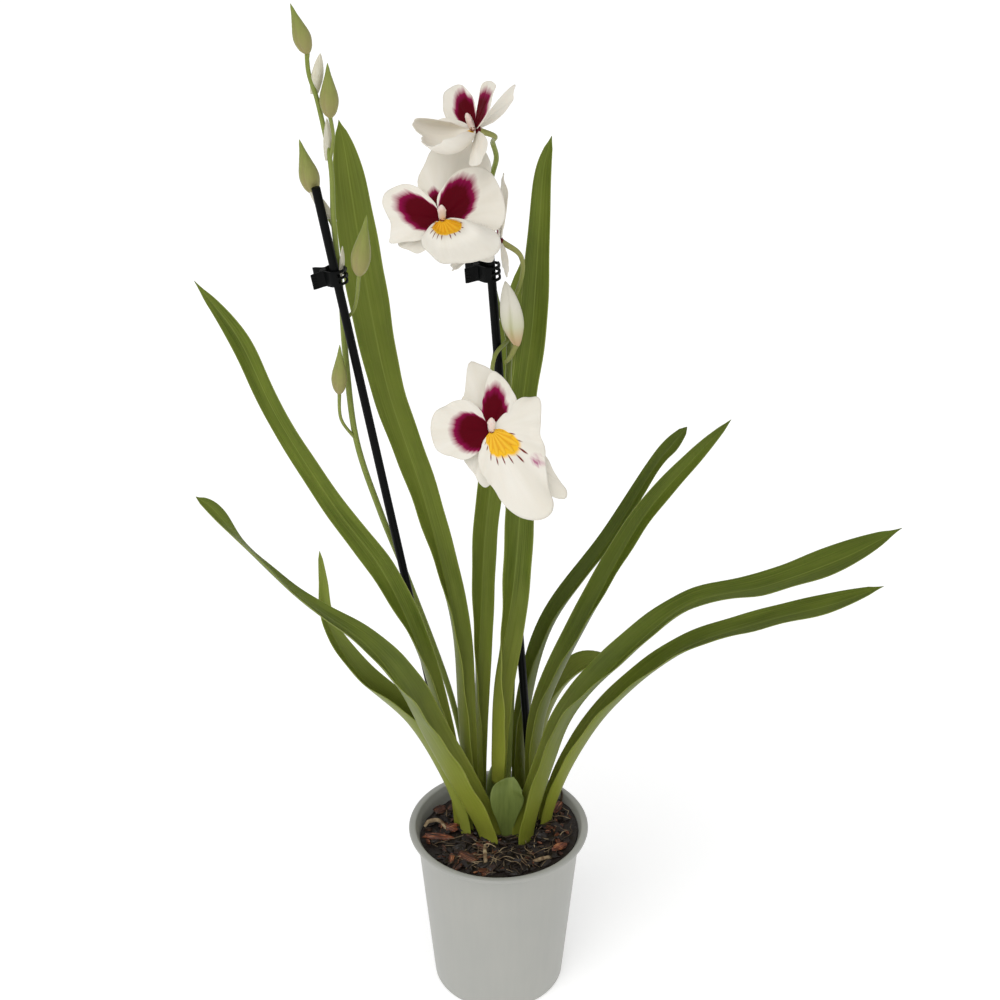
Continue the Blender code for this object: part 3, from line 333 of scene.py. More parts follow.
def pipe(route, radii, sides, steps):
    """Points and faces of a round stem along a smooth route, closed at both ends, and each point's length."""
    centres = [Vector(p) for p in through(route, steps)]
    points, lengths = [], []
    across, length = None, 0.0
    for k, (size,) in enumerate(through([(r,) for r in radii], steps)):
        ahead = (centres[min(k + 1, steps)] - centres[max(k - 1, 0)]).normalized()
        across = across or ahead.orthogonal().normalized()
        across = (across - ahead * across.dot(ahead)).normalized()
        other = ahead.cross(across)
        length += (centres[k] - centres[max(k - 1, 0)]).length
        points += [centres[k] + size * (x * across + y * other) for x, y in circle(sides)]
        lengths += [length] * sides
    return points, ring_faces(steps, sides, True), lengths


def bark_bed():
    """The filling under the chips, with its rough top, out to the inside of the pot's wall."""
    sides, rings = 96, 20
    points, _ = turned([(0.0, BED_FOOT), (wall_inside(BED_FOOT) - 0.0012, BED_FOOT),
                        (wall_inside(BED_SHOULDER) - BED_GAP, BED_SHOULDER)], sides)
    for k in range(rings, 0, -1):
        for a, b in circle(sides):
            reach = (wall_inside(medium_level(BED_EDGE * a, BED_EDGE * b)) - BED_GAP) * k / rings
            x, y = reach * a, reach * b
            rough = sum(tall * noise.noise(Vector((x, y, layer)) * scale) for tall, scale, layer in BED_ROUGH)
            points.append(Vector((x, y, medium_level(x, y) - BED_SUNK + rough)))
    faces = ring_faces(2 + rings, sides)
    last = (2 + rings) * sides
    faces += [(last + i, last + (i + 1) % sides, len(points)) for i in range(sides)]
    points.append(Vector((0.0, 0.0, medium_level(0.0, 0.0))))
    return points, faces


def bark_flake(x, y, sizes, turn, rise):
    """A split flake of bark, rough at the edges: points, faces and each point's place in its grain."""
    corners = 11
    centre = Vector((x, y, medium_level(x, y) + rise))
    grown = Vector((bark_seed.random(), bark_seed.random(), bark_seed.random()))
    points, grain = [], []
    for level, shrink in ((-1, 0.8), (-0.3, 1.0), (0.5, 0.97), (1, 0.72)):
        for i in range(corners):
            around = 2 * math.pi * (i + 0.3 * bark_seed.random()) / corners
            reach = shrink * bark_seed.uniform(0.68, 1.08)
            deep = level * bark_seed.uniform(0.6, 1.2)
            corner = Vector((reach * math.cos(around), reach * math.sin(around), deep)) * Vector(sizes)
            points.append(centre + turn @ corner)
            grain.append(corner + grown)
    return points, ring_faces(3, corners, True), grain


def make_medium():
    """The bed, the chips strewn over it, and the few large flakes that catch the eye."""
    heap = ([], [], [], [])
    points, faces = bark_bed()
    pile(heap, points, faces, [Vector((7 * p.x, p.y, p.z)) for p in points], 0.2)
    for _ in range(BARK_CHIPS):
        long = bark_seed.uniform(0.0018, 0.0072) * bark_seed.uniform(0.6, 1.0)
        reach, around = (CHIP_REACH - long) * math.sqrt(bark_seed.random()), bark_seed.uniform(0, 2 * math.pi)
        sizes = (long, long * bark_seed.uniform(0.28, 0.6), bark_seed.uniform(0.0005, 0.0013))
        turn = Matrix.Rotation(bark_seed.uniform(0, math.pi), 3, "Z")
        turn = turn @ Matrix.Rotation(bark_seed.uniform(-0.6, 0.6), 3, "X")
        turn = turn @ Matrix.Rotation(bark_seed.uniform(-0.4, 0.4), 3, "Y")
        x, y = reach * math.cos(around), reach * math.sin(around)
        flake = bark_flake(x, y, sizes, turn, bark_seed.uniform(-0.0008, 0.0016))
        pile(heap, *flake, 0.85 * bark_seed.random() ** 1.5)
    for (x, y), sizes, heading, tone in FLAKES:
        turn = Matrix.Rotation(math.radians(heading), 3, "Z") @ Matrix.Rotation(0.35, 3, "X")
        pile(heap, *bark_flake(x, y, sizes, turn, 0.002), tone)
    points, faces, grain, tones = heap
    made = piece("bark_filling", points, faces, damp_pine_bark(), "bark", ["growing_medium"], tone=tones,
                 grain=grain)
    made.data.set_sharp_from_angle(angle=math.radians(35))


def make_fine_roots():
    """Hair-thin roots that wander over the bark, most of them in tangles, and one bare twig."""
    heap = ([], [], [])
    for number in range(FINE_ROOTS):
        if number % 5 < 3:
            tangle = ROOT_TANGLES[number % len(ROOT_TANGLES)]
            x, y = (middle + bark_seed.gauss(0, TANGLE_SPREAD) for middle in tangle)
        else:
            reach, around = 0.046 * math.sqrt(bark_seed.random()), bark_seed.uniform(0, 2 * math.pi)
            x, y = reach * math.cos(around), reach * math.sin(around)
        heading = bark_seed.uniform(0, 2 * math.pi)
        route = []
        for _ in range(bark_seed.randint(4, 7)):
            if math.hypot(x, y) > FINE_ROOT_REACH:
                break
            route.append((x, y, medium_level(x, y) + bark_seed.uniform(0.0003, 0.0026)))
            heading += bark_seed.uniform(-0.8, 0.8)
            x, y = x + FINE_ROOT_STEP * math.cos(heading), y + FINE_ROOT_STEP * math.sin(heading)
        if len(route) > 2:
            thick = bark_seed.uniform(0.00014, 0.00042)
            radii = [thick * 0.5] + [thick] * (len(route) - 2) + [thick * 0.3]
            pile(heap, *pipe(route, radii, 6, 3 * (len(route) - 1))[:2], bark_seed.random() ** 1.3)
    pile(heap, *pipe(TWIG, [0.0008, 0.0008, 0.0007, 0.0003], 8, 12)[:2], 0.15)
    piece("fine_roots", *heap[:2], dead_root(), "root", tone=heap[2])


make_medium()
make_fine_roots()

# ---------------------------------------------------------------------------------------------
# The thick roots: three that left the pot's filling and dived back, in a dry corky skin.

ROOTS = {
    "root_front": [
        (-0.009, -0.012, 0.113), (-0.009, -0.019, 0.1185), (-0.0085, -0.032, 0.119),
        (-0.0075, -0.046, 0.1165),
    ],
    "root_left": [
        (-0.05, 0.007, 0.1155), (-0.047, 0.009, 0.1185), (-0.04, 0.009, 0.119),
        (-0.034, 0.004, 0.114),
    ],
    "root_right": [
        (0.016, -0.036, 0.114), (0.022, -0.034, 0.1185), (0.031, -0.03, 0.119),
        (0.039, -0.024, 0.1145),
    ],
}
ROOT_RADII = [0.0009, 0.0013, 0.0013, 0.0008]
CORK_RELIEF, CORK_SCALE = 0.00018, 500
root_skin = dead_root()
# Without a seed the relief of the cork is another one each time.
noise.seed_set(11)
for name, route in ROOTS.items():
    points, faces, _ = pipe(route, ROOT_RADII, 16, 36)
    points = [p + CORK_RELIEF * noise.noise_vector(p * CORK_SCALE) for p in points]
    piece("corky_" + name, points, faces, root_skin, "root", [name], tone=[0.9] * len(points))

# ---------------------------------------------------------------------------------------------
# The pseudobulbs: two flat green bulbs that store the plant's water, pressed between the leaves.

BULBS = {
    "pseudobulb_front": ((0.006, 0.008, 0.126), (0.015, 0.0055, 0.026)),
    "pseudobulb_back": ((0.000, 0.037, 0.124), (0.0085, 0.0055, 0.024)),
}


def bulb_skin():
    """The skin of a living bulb: smooth, grey green, with long pale ribs as it dries a little."""
    made, tree = material("living bulb skin", IOR=1.42, Roughness=0.45)
    rib = streaks(tree, (420.0, 420.0, 26.0), 3.0)
    return dress(made, "56652C", (rib, 0, 1, 1, "7A8744"), relief=(rib, 0.3, 0.0006))


def ball_profile(rows):
    """Radius and height down the side of a ball of radius one."""
    turns = [math.pi * (k / rows - 0.5) for k in range(rows + 1)]
    return [(math.cos(turn), math.sin(turn)) for turn in turns]


living_bulb = bulb_skin()
for name, (centre, sizes) in BULBS.items():
    points, faces = turned(ball_profile(28), 48)
    points = [Vector(centre) + point * Vector(sizes) for point in points]
    piece("green_" + name, points, faces, living_bulb, "bulb", [name])

# ---------------------------------------------------------------------------------------------
# The leaves: eleven thin straps folded along the keel, closed round one another at the foot and
# opening towards the tip. Each row is x, y, z of the keel, half width, fold angle, turn about the keel.

LEAF_THICK = 0.0011
# A leaf with no turn opens towards this side.
SHOWN_FROM = Vector((0.0, -0.886, 0.464))
LEAVES = {
    "leaf_far_left": [
        (-0.029, 0.0103, 0.107, 0.008, 45, 80), (-0.031, 0.0103, 0.135, 0.0085, 45, 80),
        (-0.036, 0.0105, 0.18, 0.0095, 50, 75), (-0.051, 0.007, 0.255, 0.01, 75, 50),
        (-0.071, 0.004, 0.314, 0.0094, 115, 15), (-0.101, 0.008, 0.361, 0.0076, 130, 0),
        (-0.133, 0.02, 0.413, 0.0068, 125, 0), (-0.156, 0.036, 0.459, 0.0068, 120, 0),
        (-0.183, 0.054, 0.489, 0.001, 125, 0),
    ],
    "leaf_front_left": [
        (-0.01, -0.005, 0.107, 0.015, 45, 68), (-0.015, -0.005, 0.125, 0.0165, 45, 70),
        (-0.029, -0.01, 0.16, 0.018, 52, 73), (-0.046, -0.02, 0.206, 0.018, 68, 76),
        (-0.06, -0.037, 0.255, 0.016, 92, 68), (-0.079, -0.056, 0.3, 0.0108, 125, 58),
        (-0.112, -0.084, 0.349, 0.0066, 145, 74), (-0.139, -0.103, 0.394, 0.0055, 158, 90),
        (-0.153, -0.11, 0.42, 0.004, 140, 30), (-0.161, -0.114, 0.43, 0.001, 140, 0),
    ],
    "leaf_short_left": [
        (-0.024, 0.002, 0.107, 0.0085, 45, 75), (-0.027, 0.002, 0.128, 0.009, 45, 75),
        (-0.038, 0.001, 0.163, 0.011, 50, 72), (-0.058, -0.008, 0.211, 0.0125, 62, 64),
        (-0.087, -0.024, 0.257, 0.011, 85, 52), (-0.103, -0.036, 0.302, 0.0056, 105, 30),
        (-0.104, -0.041, 0.336, 0.003, 120, 5), (-0.105, -0.043, 0.357, 0.001, 120, 0),
    ],
    "leaf_tall_left": [
        (-0.022, 0.018, 0.107, 0.0095, 45, 70), (-0.023, 0.018, 0.135, 0.01, 45, 70),
        (-0.026, 0.018, 0.196, 0.0118, 55, 65), (-0.03, 0.027, 0.268, 0.0118, 75, 45),
        (-0.047, 0.037, 0.35, 0.0112, 105, 18), (-0.068, 0.047, 0.421, 0.0112, 125, 0),
        (-0.08, 0.057, 0.487, 0.013, 138, 0), (-0.0868, 0.062, 0.54, 0.011, 140, 0),
        (-0.0898, 0.064, 0.565, 0.0074, 140, 0), (-0.093, 0.066, 0.584, 0.001, 140, 0),
    ],
    "leaf_mid_left": [
        (-0.017, 0.0268, 0.107, 0.008, 45, 75), (-0.017, 0.0268, 0.135, 0.009, 45, 75),
        (-0.016, 0.0268, 0.189, 0.0095, 58, 62), (-0.012, 0.03, 0.262, 0.0092, 95, 25),
        (-0.008, 0.036, 0.33, 0.009, 120, 0), (0.000, 0.045, 0.395, 0.009, 125, 0),
        (0.007, 0.055, 0.455, 0.0088, 130, 0), (0.015, 0.062, 0.502, 0.001, 130, 0),
    ],
    "leaf_centre": [
        (-0.004, 0.006, 0.1535, 0.0096, 45, 82), (-0.004, 0.005, 0.182, 0.011, 50, 80),
        (-0.002, 0.002, 0.235, 0.013, 66, 62), (0.008, -0.003, 0.3, 0.0112, 100, 25),
        (0.013, -0.003, 0.36, 0.01, 120, 0), (0.014, 0.002, 0.424, 0.009, 112, 0),
        (0.02, 0.009, 0.48, 0.0095, 122, 0), (0.0235, 0.016, 0.54, 0.0066, 128, 0),
        (0.0255, 0.0195, 0.568, 0.005, 129, 0), (0.03, 0.022, 0.587, 0.001, 130, 0),
    ],
    "leaf_right_bent": [
        (0.018, 0.03, 0.107, 0.0085, 45, -75), (0.018, 0.03, 0.135, 0.0095, 45, -75),
        (0.02, 0.031, 0.19, 0.0105, 58, -70), (0.035, 0.038, 0.256, 0.01, 85, -54),
        (0.073, 0.055, 0.311, 0.008, 108, -42), (0.1, 0.07, 0.354, 0.006, 112, -30),
        (0.112, 0.077, 0.368, 0.0058, 120, -20), (0.1215, 0.0815, 0.379, 0.002, 126, -12),
    ],
    "leaf_right_upright": [
        (0.027, 0.018, 0.107, 0.0085, 45, -75), (0.027, 0.018, 0.135, 0.0095, 45, -75),
        (0.031, 0.012, 0.205, 0.0112, 55, -65), (0.056, 0.005, 0.28, 0.0113, 78, -46),
        (0.086, -0.003, 0.354, 0.0086, 102, -25), (0.116, -0.006, 0.399, 0.0058, 114, -15),
        (0.137, -0.006, 0.425, 0.001, 120, 0),
    ],
    "leaf_front_right": [
        (0.0225, -0.005, 0.107, 0.0145, 45, -62), (0.0245, -0.006, 0.13, 0.0148, 45, -65),
        (0.035, -0.01, 0.178, 0.0135, 54, -74), (0.048, -0.022, 0.228, 0.0132, 75, -74),
        (0.074, -0.045, 0.282, 0.0125, 106, -60), (0.11, -0.067, 0.334, 0.0105, 138, -64),
        (0.152, -0.087, 0.359, 0.0105, 142, -56), (0.19, -0.103, 0.386, 0.0098, 142, -46),
        (0.217, -0.114, 0.411, 0.001, 140, -40),
    ],
    "leaf_low_right": [
        (0.035, 0.008, 0.107, 0.0085, 45, -75), (0.037, 0.008, 0.13, 0.0095, 45, -75),
        (0.051, -0.001, 0.178, 0.0108, 58, -74), (0.074, -0.013, 0.228, 0.0108, 80, -70),
        (0.112, -0.031, 0.28, 0.01, 122, -66), (0.155, -0.054, 0.314, 0.0095, 138, -58),
        (0.193, -0.071, 0.337, 0.0078, 142, -50), (0.219, -0.082, 0.356, 0.001, 140, -44),
    ],
    "leaf_back_right": [
        (0.025, 0.041, 0.107, 0.0075, 50, -75), (0.026, 0.042, 0.135, 0.009, 52, -75),
        (0.036, 0.053, 0.18, 0.0112, 76, -66), (0.057, 0.07, 0.203, 0.0112, 116, -50),
        (0.087, 0.09, 0.196, 0.001, 130, -50),
    ],
}
# Painted light and shade on whole leaves: a leaf over 0 is painted lighter and yellower as if lit, and one
# under 0 is painted darker as if in shade.
LEAF_PAINTED_LIGHT_AND_SHADE = {
    "leaf_tall_left": 0.35, "leaf_mid_left": 0.35, "leaf_short_left": 0.6, "leaf_right_bent": -0.6,
    "leaf_right_upright": -0.4, "leaf_front_right": -0.4, "leaf_back_right": -0.3, "leaf_sheath": 0.15,
}
# The short green sheath in front of the bulb, in rows like those of a leaf.
SHEATH = [
    (0.0058, -0.0035, 0.11, 0.0022, 150, 4), (0.0054, -0.004, 0.122, 0.0044, 150, 4),
    (0.0052, -0.0052, 0.134, 0.0074, 148, 4), (0.0054, -0.0064, 0.146, 0.011, 144, 4),
    (0.006, -0.0074, 0.156, 0.0116, 140, 4), (0.008, -0.008, 0.163, 0.0084, 138, 4),
    (0.0098, -0.0082, 0.168, 0.002, 138, 4),
]


def living_leaf():
    """A living strap leaf: waxy, with fine veins running its whole length, a paler keel and foot, a painted
    highlight along the margin, and painted light and shade over each whole leaf by its tone.
    """
    made, tree = material(
        "living leaf blade", IOR=1.42, Specular_IOR_Level=0.2, Subsurface_Weight=0.12,
        Subsurface_Radius=(0.4, 1.0, 0.15), Subsurface_Scale=0.0015)
    strap = add(tree, "Attribute", {}, "Vector", attribute_name="strap")
    tone = add(tree, "Attribute", {}, "Fac", attribute_name="tone")
    across = add(tree, "SeparateXYZ", {"Vector": strap}, "X")
    along = across.node.outputs["Y"]
    edge = add(tree, "Math", {0: across}, operation="ABSOLUTE")
    vein = streaks(tree, (15.0, 14.0, 0.0), 2.5, strap)
    cloud = streaks(tree, (0.9, 22.0, 30.0), 3.0, strap)
    return dress(
        made, "465410", (cloud, 0.3, 0.7, 1, "627022"), (vein, 0.3, 0.75, 0.5, "7F8A3A"),
        # The pale line at the margin is a painted highlight.
        (edge, 0.05, 0, 0.55, "8E9A48"), (edge, 0.955, 0.99, 0.45, "A9AE62"),
        # Painted light and shade: a leaf whose tone is over 0 is painted lighter and yellower, and one under
        # 0 darker.
        (along, 0.17, 0.01, 0.8, "8C9034"), (tone, 0, 1, 0.7, "8A9440"), (tone, 0, -1, 0.8, "344008"),
        relief=(vein, 0.35, 0.0004), rough=(cloud, 0, 1, 0.34, 0.5))


def grid_shell(middle, halves):
    """A closed thin sheet about rows of points, with a half thickness for each: points, faces, and for
    each point its row, its column and its side."""
    rows, wide = len(middle), len(middle[0])
    points, where = [], []
    for side in (1, -1):
        for k in range(rows):
            for i in range(wide):
                ahead = middle[min(k + 1, rows - 1)][i] - middle[max(k - 1, 0)][i]
                over = middle[k][min(i + 1, wide - 1)] - middle[k][max(i - 1, 0)]
                points.append(middle[k][i] + side * halves[k][i] * over.cross(ahead).normalized())
                where.append((k, i, side))
    count = rows * wide
    faces = []
    for k in range(rows - 1):
        for i in range(wide - 1):
            a, b, c, d = k * wide + i, k * wide + i + 1, (k + 1) * wide + i + 1, (k + 1) * wide + i
            faces += [(a, b, c, d), (count + d, count + c, count + b, count + a)]
    border = [*range(wide), *range(2 * wide - 1, count, wide)]
    border += [*range(count - 2, count - wide - 1, -1), *range(count - 2 * wide, 0, -wide)]
    for a, b in zip(border, border[1:] + border[:1]):
        faces.append((b, a, count + a, count + b))
    return points, faces, where


def make_leaf(name, rows, number, skin):
    """One strap, closed at the foot and flat towards the tip, with a wavy margin."""
    steps, columns = 11 * (len(rows) - 1), 25
    read = through(rows, steps)
    centres = [Vector(r[:3]) for r in read]
    middle, halves, lengths = [], [], []
    length = 0.0
    for k, (_, _, _, half_width, fold, turn) in enumerate(read):
        along = (centres[min(k + 1, steps)] - centres[max(k - 1, 0)]).normalized()
        length += (centres[k] - centres[max(k - 1, 0)]).length
        lengths.append(length)
        left = (steps - k) / steps
        half_width *= min(1.0, (left * 22) ** 0.7 + 0.12)
        towards = (SHOWN_FROM - along * SHOWN_FROM.dot(along)).normalized()
        turn, fold = math.radians(turn), math.radians(fold)
        opening = math.cos(turn) * towards + math.sin(turn) * along.cross(towards)
        across = along.cross(opening)
        sine, cosine = math.sin(fold / 2), math.cos(fold / 2)
        row, thick = [], []
        for i in range(columns):
            t = 2 * i / (columns - 1) - 1
            side = math.tanh(t / 0.1)
            rise = math.sqrt(t * t + 0.0036) - 0.06
            wave = 0.035 * abs(t) ** 3 * math.sin(160 * length + 2.1 * number + side)
            arch = wave - 0.24 * abs(t) * (1 - abs(t))
            face = sine * opening - side * cosine * across
            row.append(centres[k] + half_width * (t * sine * across + rise * cosine * opening + arch * face))
            thick.append(LEAF_THICK / 2 * (1 - 0.62 * abs(t) ** 2.5) * (0.35 + 0.65 * min(1, left * 12)))
        middle.append(row)
        halves.append(thick)
    points, faces, where = grid_shell(middle, halves)
    piece("living_" + name, points, faces, skin, "leaf", [name] if name in LEAVES else [],
          # Each leaf's tone carries its painted light and shade.
          tone=[LEAF_PAINTED_LIGHT_AND_SHADE.get(name, 0.0)] * len(points),
          strap=[(2 * i / (columns - 1) - 1, lengths[k], 0.37 * number) for k, i, _ in where])


living_strap = living_leaf()
for number, (name, rows) in enumerate(LEAVES.items()):
    make_leaf(name, rows, number, living_strap)
make_leaf("leaf_sheath", SHEATH, len(LEAVES), living_bulb)

# ---------------------------------------------------------------------------------------------
# The left spike: a green stem with a papery bract at each joint and five closed buds, each of three
# green sepals that meet in seams.

LEFT_STEM = [
    (-0.019, 0.031, 0.107), (-0.022, 0.032, 0.15), (-0.033, 0.033, 0.21), (-0.057, 0.032, 0.291),
    (-0.074, 0.029, 0.345), (-0.087, 0.027, 0.396), (-0.091, 0.025, 0.45), (-0.092, 0.024, 0.489),
    (-0.093, 0.0235, 0.51), (-0.094, 0.018, 0.54), (-0.0935, 0.012, 0.573), (-0.0985, 0.008, 0.609),
    (-0.1025, 0.0055, 0.626), (-0.103, 0.005, 0.64),
]
# Of each bud: its stalk's foot and bend, the bud's base and tip, its greatest radius.
LEFT_BUDS = [
    ((-0.1026, 0.0054, 0.627), (-0.103, 0.0052, 0.632), (-0.1025, 0.005, 0.637),
     (-0.11, 0.002, 0.664), 0.0048),
    ((-0.094, 0.012, 0.575), (-0.091, 0.008, 0.59), (-0.092, 0.006, 0.602),
     (-0.092, 0.004, 0.632), 0.0052),
    ((-0.094, 0.019, 0.534), (-0.099, 0.0235, 0.543), (-0.1048, 0.023, 0.5535),
     (-0.1114, 0.0215, 0.585), 0.0056),
    ((-0.092, 0.024, 0.474), (-0.084, 0.021, 0.485), (-0.08, 0.01, 0.509),
     (-0.074, 0.006, 0.546), 0.0056),
    ((-0.087, 0.027, 0.396), (-0.095, 0.02, 0.413), (-0.095, 0.016, 0.432),
     (-0.093, 0.012, 0.465), 0.0046),
]
BUD_PROFILE = [(0.0, 0.3), (0.05, 0.56), (0.13, 0.82), (0.27, 1.0), (0.4, 0.95), (0.54, 0.74),
               (0.68, 0.5), (0.8, 0.31), (0.91, 0.17), (1.0, 0.03)]
LEFT_RADII = [0.0021, 0.002, 0.0019, 0.0017, 0.0014, 0.0012]
BUD_STALK_RADII = [0.0011, 0.001, 0.0012, 0.0015]
SEPALS, SEAM_DEPTH, SEAM_WIDTH = 3, 0.16, 0.06
UP = Vector((0.0, 0.0, 1.0))


def living_stem():
    """A living flower stem: firm, smooth and yellow green, a little streaked along its length."""
    made, tree = material(
        "living flower stem", IOR=1.42, Roughness=0.45, Specular_IOR_Level=0.25, Subsurface_Weight=0.1,
        Subsurface_Radius=(0.5, 1.0, 0.2), Subsurface_Scale=0.001)
    streak = streaks(tree, (900.0, 900.0, 60.0), 2.0)
    ripe = add(tree, "Attribute", {}, "Fac", attribute_name="ripe")
    return dress(
        made, "727D38", (streak, 0, 1, 1, "8E9A4E"), (ripe, 0, 1, 1, "9C9260"), relief=(streak, 0.25, 0.0003))


def closed_bud(base, tip, radius, profile, twist=0.0):
    """A bud from base to tip: three sepals that meet in shallow seams, and how ripe each point is."""
    axis = tip - base
    turn = UP.rotation_difference(axis).to_matrix()
    sides, rows = 36, 26
    read = through(profile, 120)
    points, ripe = [], []
    for k in range(rows + 1):
        share = k / rows
        full = min(read, key=lambda row: abs(row[0] - share))[1]
        for i in range(sides):
            angle = 2 * math.pi * i / sides
            seam = abs((angle / (2 * math.pi) * SEPALS + 0.5) % 1 - 0.5)
            groove = SEAM_DEPTH * math.exp(-(seam / SEAM_WIDTH) ** 2)
            reach = radius * max(0.02, full) * (1 - groove + 0.1 * seam)
            angle += twist * share
            across = Vector((reach * math.cos(angle), reach * math.sin(angle), share * axis.length))
            points.append(base + turn @ across)
            ripe.append(0.35 * math.exp(-(seam / 0.1) ** 2) * (1 - share) + 0.95 * (1 - share) ** 1.3)
    return points, ring_faces(rows, sides, True), ripe


def make_left_spike(skin):
    """The stem, its five buds and their short stalks, in one piece."""
    heap = ([], [], [])
    pile(heap, *pipe(LEFT_STEM, LEFT_RADII, 16, 96)[:2], 0.0)
    for foot, bend, base, tip, radius in LEFT_BUDS:
        base, tip = Vector(base), Vector(tip)
        pile(heap, *closed_bud(base, tip, radius, BUD_PROFILE))
        route = [foot, bend, base, base + 0.12 * (tip - base)]
        pile(heap, *pipe(route, BUD_STALK_RADII, 12, 18)[:2], 0.1)
    piece("budding_spike", *heap[:2], skin, "stem", ["left_flower_spike"], ripe=heap[2])


def dry_bract():
    """A dry papery bract: pale straw, thin enough for the light to come through, with fine ribs."""
    made, tree = material("dry papery bract", IOR=1.4, Roughness=0.7, Subsurface_Weight=0.3,
                                  Subsurface_Radius=(1.0, 0.9, 0.7), Subsurface_Scale=0.001)
    rib = streaks(tree, (2500.0, 2500.0, 120.0), 2.0)
    return dress(made, "B9B39A", (rib, 0, 1, 1, "E2DFD0"))


BRACT_HALF_THICK = 0.00016
# Of each bract: its foot at a joint of the stem, its tip, its half width, and the way it opens.
BRACTS = [
    ((-0.0996, 0.0075, 0.614), (-0.0955, 0.0045, 0.637), 0.0036, (0.5, -0.8, 0.2)),
    ((-0.094, 0.0115, 0.576), (-0.094, 0.0085, 0.6005), 0.003, (0.6, -0.8, 0.2)),
    ((-0.0945, 0.021, 0.536), (-0.1085, 0.02, 0.56), 0.0034, (-0.4, -0.9, 0.1)),
    ((-0.0915, 0.022, 0.502), (-0.0895, 0.0195, 0.523), 0.002, (0.7, -0.7, 0.1)),
]


def make_bracts():
    """The bracts, cupped round the stem, in one piece with no solid of its own."""
    heap = ([], [])
    rows, wide = 20, 13
    for foot, tip, half_width, opening in BRACTS:
        foot, tip = Vector(foot), Vector(tip)
        along = (tip - foot).normalized()
        face = (Vector(opening) - along * along.dot(Vector(opening))).normalized()
        side = along.cross(face)
        middle = []
        for k in range(rows + 1):
            t = k / rows
            broad = half_width * (math.sin(math.pi * min(1.0, 0.18 + 0.82 * t)) ** 0.8 + 0.02)
            centre = foot.lerp(tip, t) + face * (0.0014 * math.sin(math.pi * t) - 0.0004)
            shares = [2 * i / (wide - 1) - 1 for i in range(wide)]
            middle.append([centre + s * broad * side - face * (0.5 * broad * s * s) for s in shares])
        pile(heap, *grid_shell(middle, [[BRACT_HALF_THICK] * wide] * (rows + 1))[:2])
    piece("papery_bracts", *heap, dry_bract(), "stem")


green_stem = living_stem()
make_left_spike(green_stem)
make_bracts()

# ---------------------------------------------------------------------------------------------
# The right spike: a green stem that zigzags from bloom to bloom, with a stalk to each one. A bloom is
# given by its centre and the way it faces.

RIGHT_STEM = [
    (0.004, 0.022, 0.107), (0.0052, 0.0223, 0.13), (0.007, 0.023, 0.16), (0.009, 0.0235, 0.23),
    (0.009, 0.0225, 0.3),
    (0.008, 0.02, 0.352), (0.0065, 0.0175, 0.4), (0.006, 0.0145, 0.44), (0.006, 0.013, 0.468),
    (-0.001, 0.0125, 0.492), (-0.0045, 0.012, 0.512), (-0.006, 0.011, 0.535), (-0.006, 0.009, 0.558),
    (-0.003, 0.005, 0.571), (-0.001, -0.003, 0.582), (-0.003, -0.012, 0.593),
]
PLACES = {
    "bloom_low": ((-0.004, -0.048, 0.438), (0.04, -0.88, 0.475)),
    "bloom_middle": ((-0.0295, -0.048, 0.562), (-0.05, -0.918, 0.409)),
    "bloom_behind": ((0.000, -0.014, 0.538), (-0.99, -0.1, 0.1)),
    "bloom_top": ((-0.012, -0.036, 0.607), (-0.72, -0.55, 0.42)),
}
RIGHT_RADII = [0.0021, 0.002, 0.0019, 0.0018, 0.0016, 0.0014]
STALK_RADII = [0.0013, 0.0012, 0.0014, 0.0018]
# Where the stalks of the bloom behind and of the opening bud end.
BEHIND_BACK = (0.0016, -0.0139, 0.5376)
BUD_FOOT = (0.0108, -0.0012, 0.4712)


def bloom_frame(centre, facing):
    """The matrix from a bloom's own frame, face to +Z and top to +Y, to the plant's."""
    face = Vector(facing).normalized()
    top = (UP - face * UP.dot(face)).normalized()
    turn = Matrix((top.cross(face), top, face)).transposed()
    return Matrix.Translation(Vector(centre)) @ turn.to_4x4()


def make_right_spike(skin):
    """The stem and the five stalks, each bent to reach the back of its bloom, in one piece."""
    low, middle, _, top = [
        [bloom_frame(*place) @ Vector((0, 0, height)) for height in (-0.014, -0.0016)]
        for place in PLACES.values()
    ]
    stalks = [
        [(0.006, 0.013, 0.468), (-0.003, -0.01, 0.463), *low],
        [(-0.006, 0.009, 0.556), (-0.014, -0.01, 0.566), *middle],
        [(0.004, 0.012, 0.482), (0.013, 0.004, 0.508), (0.0125, -0.008, 0.527), BEHIND_BACK],
        [(-0.002, -0.008, 0.588), (-0.003, -0.014, 0.594), *top],
        [(0.006, 0.0135, 0.455), (0.0045, 0.005, 0.457), (0.007, -0.0015, 0.463), BUD_FOOT],
    ]
    heap = ([], [], [])
    pile(heap, *pipe(RIGHT_STEM, RIGHT_RADII, 16, 110)[:2], 0.0)
    for route in stalks:
        points, faces, lengths = pipe(route, STALK_RADII, 14, 30)
        pile(heap, points, faces, [0.6 * s / lengths[-1] for s in lengths])
    piece("flowering_spike", *heap[:2], skin, "stem", ["right_flower_spike"], ripe=heap[2])


make_right_spike(green_stem)

# ---------------------------------------------------------------------------------------------
# The blooms: three sepals behind, two petals and a broad lip, thin and cream white. The petals carry
# a wine-red blotch that feathers out along the veins, and the lip a yellow mask with dark whiskers.
# An outline is a few points of angle and reach, in degrees and millimetres, round the bloom's middle.

PETAL_THICK = 0.0008
WHISKER_STEP = 11.5
BOSS_RADIUS, BOSS_HALF, BOSS_DROP = 0.0026, 0.0016, 0.0012
COLUMNS = {"sepal": 29, "petal": 41, "lip": 73}


def rounded(angle, length, width):
    """The outline of a rounded petal by its angle, length and width."""
    half = math.degrees(math.asin(min(0.95, width / 1.6 / length)))
    shares = ((-1.5, 0.32), (-1.28, 0.6), (-1.0, 0.8), (-0.5, 0.95), (0, 1.0), (0.5, 0.95), (1.0, 0.8),
              (1.28, 0.6), (1.5, 0.32))
    return [(angle + turn * half, share * length) for turn, share in shares]


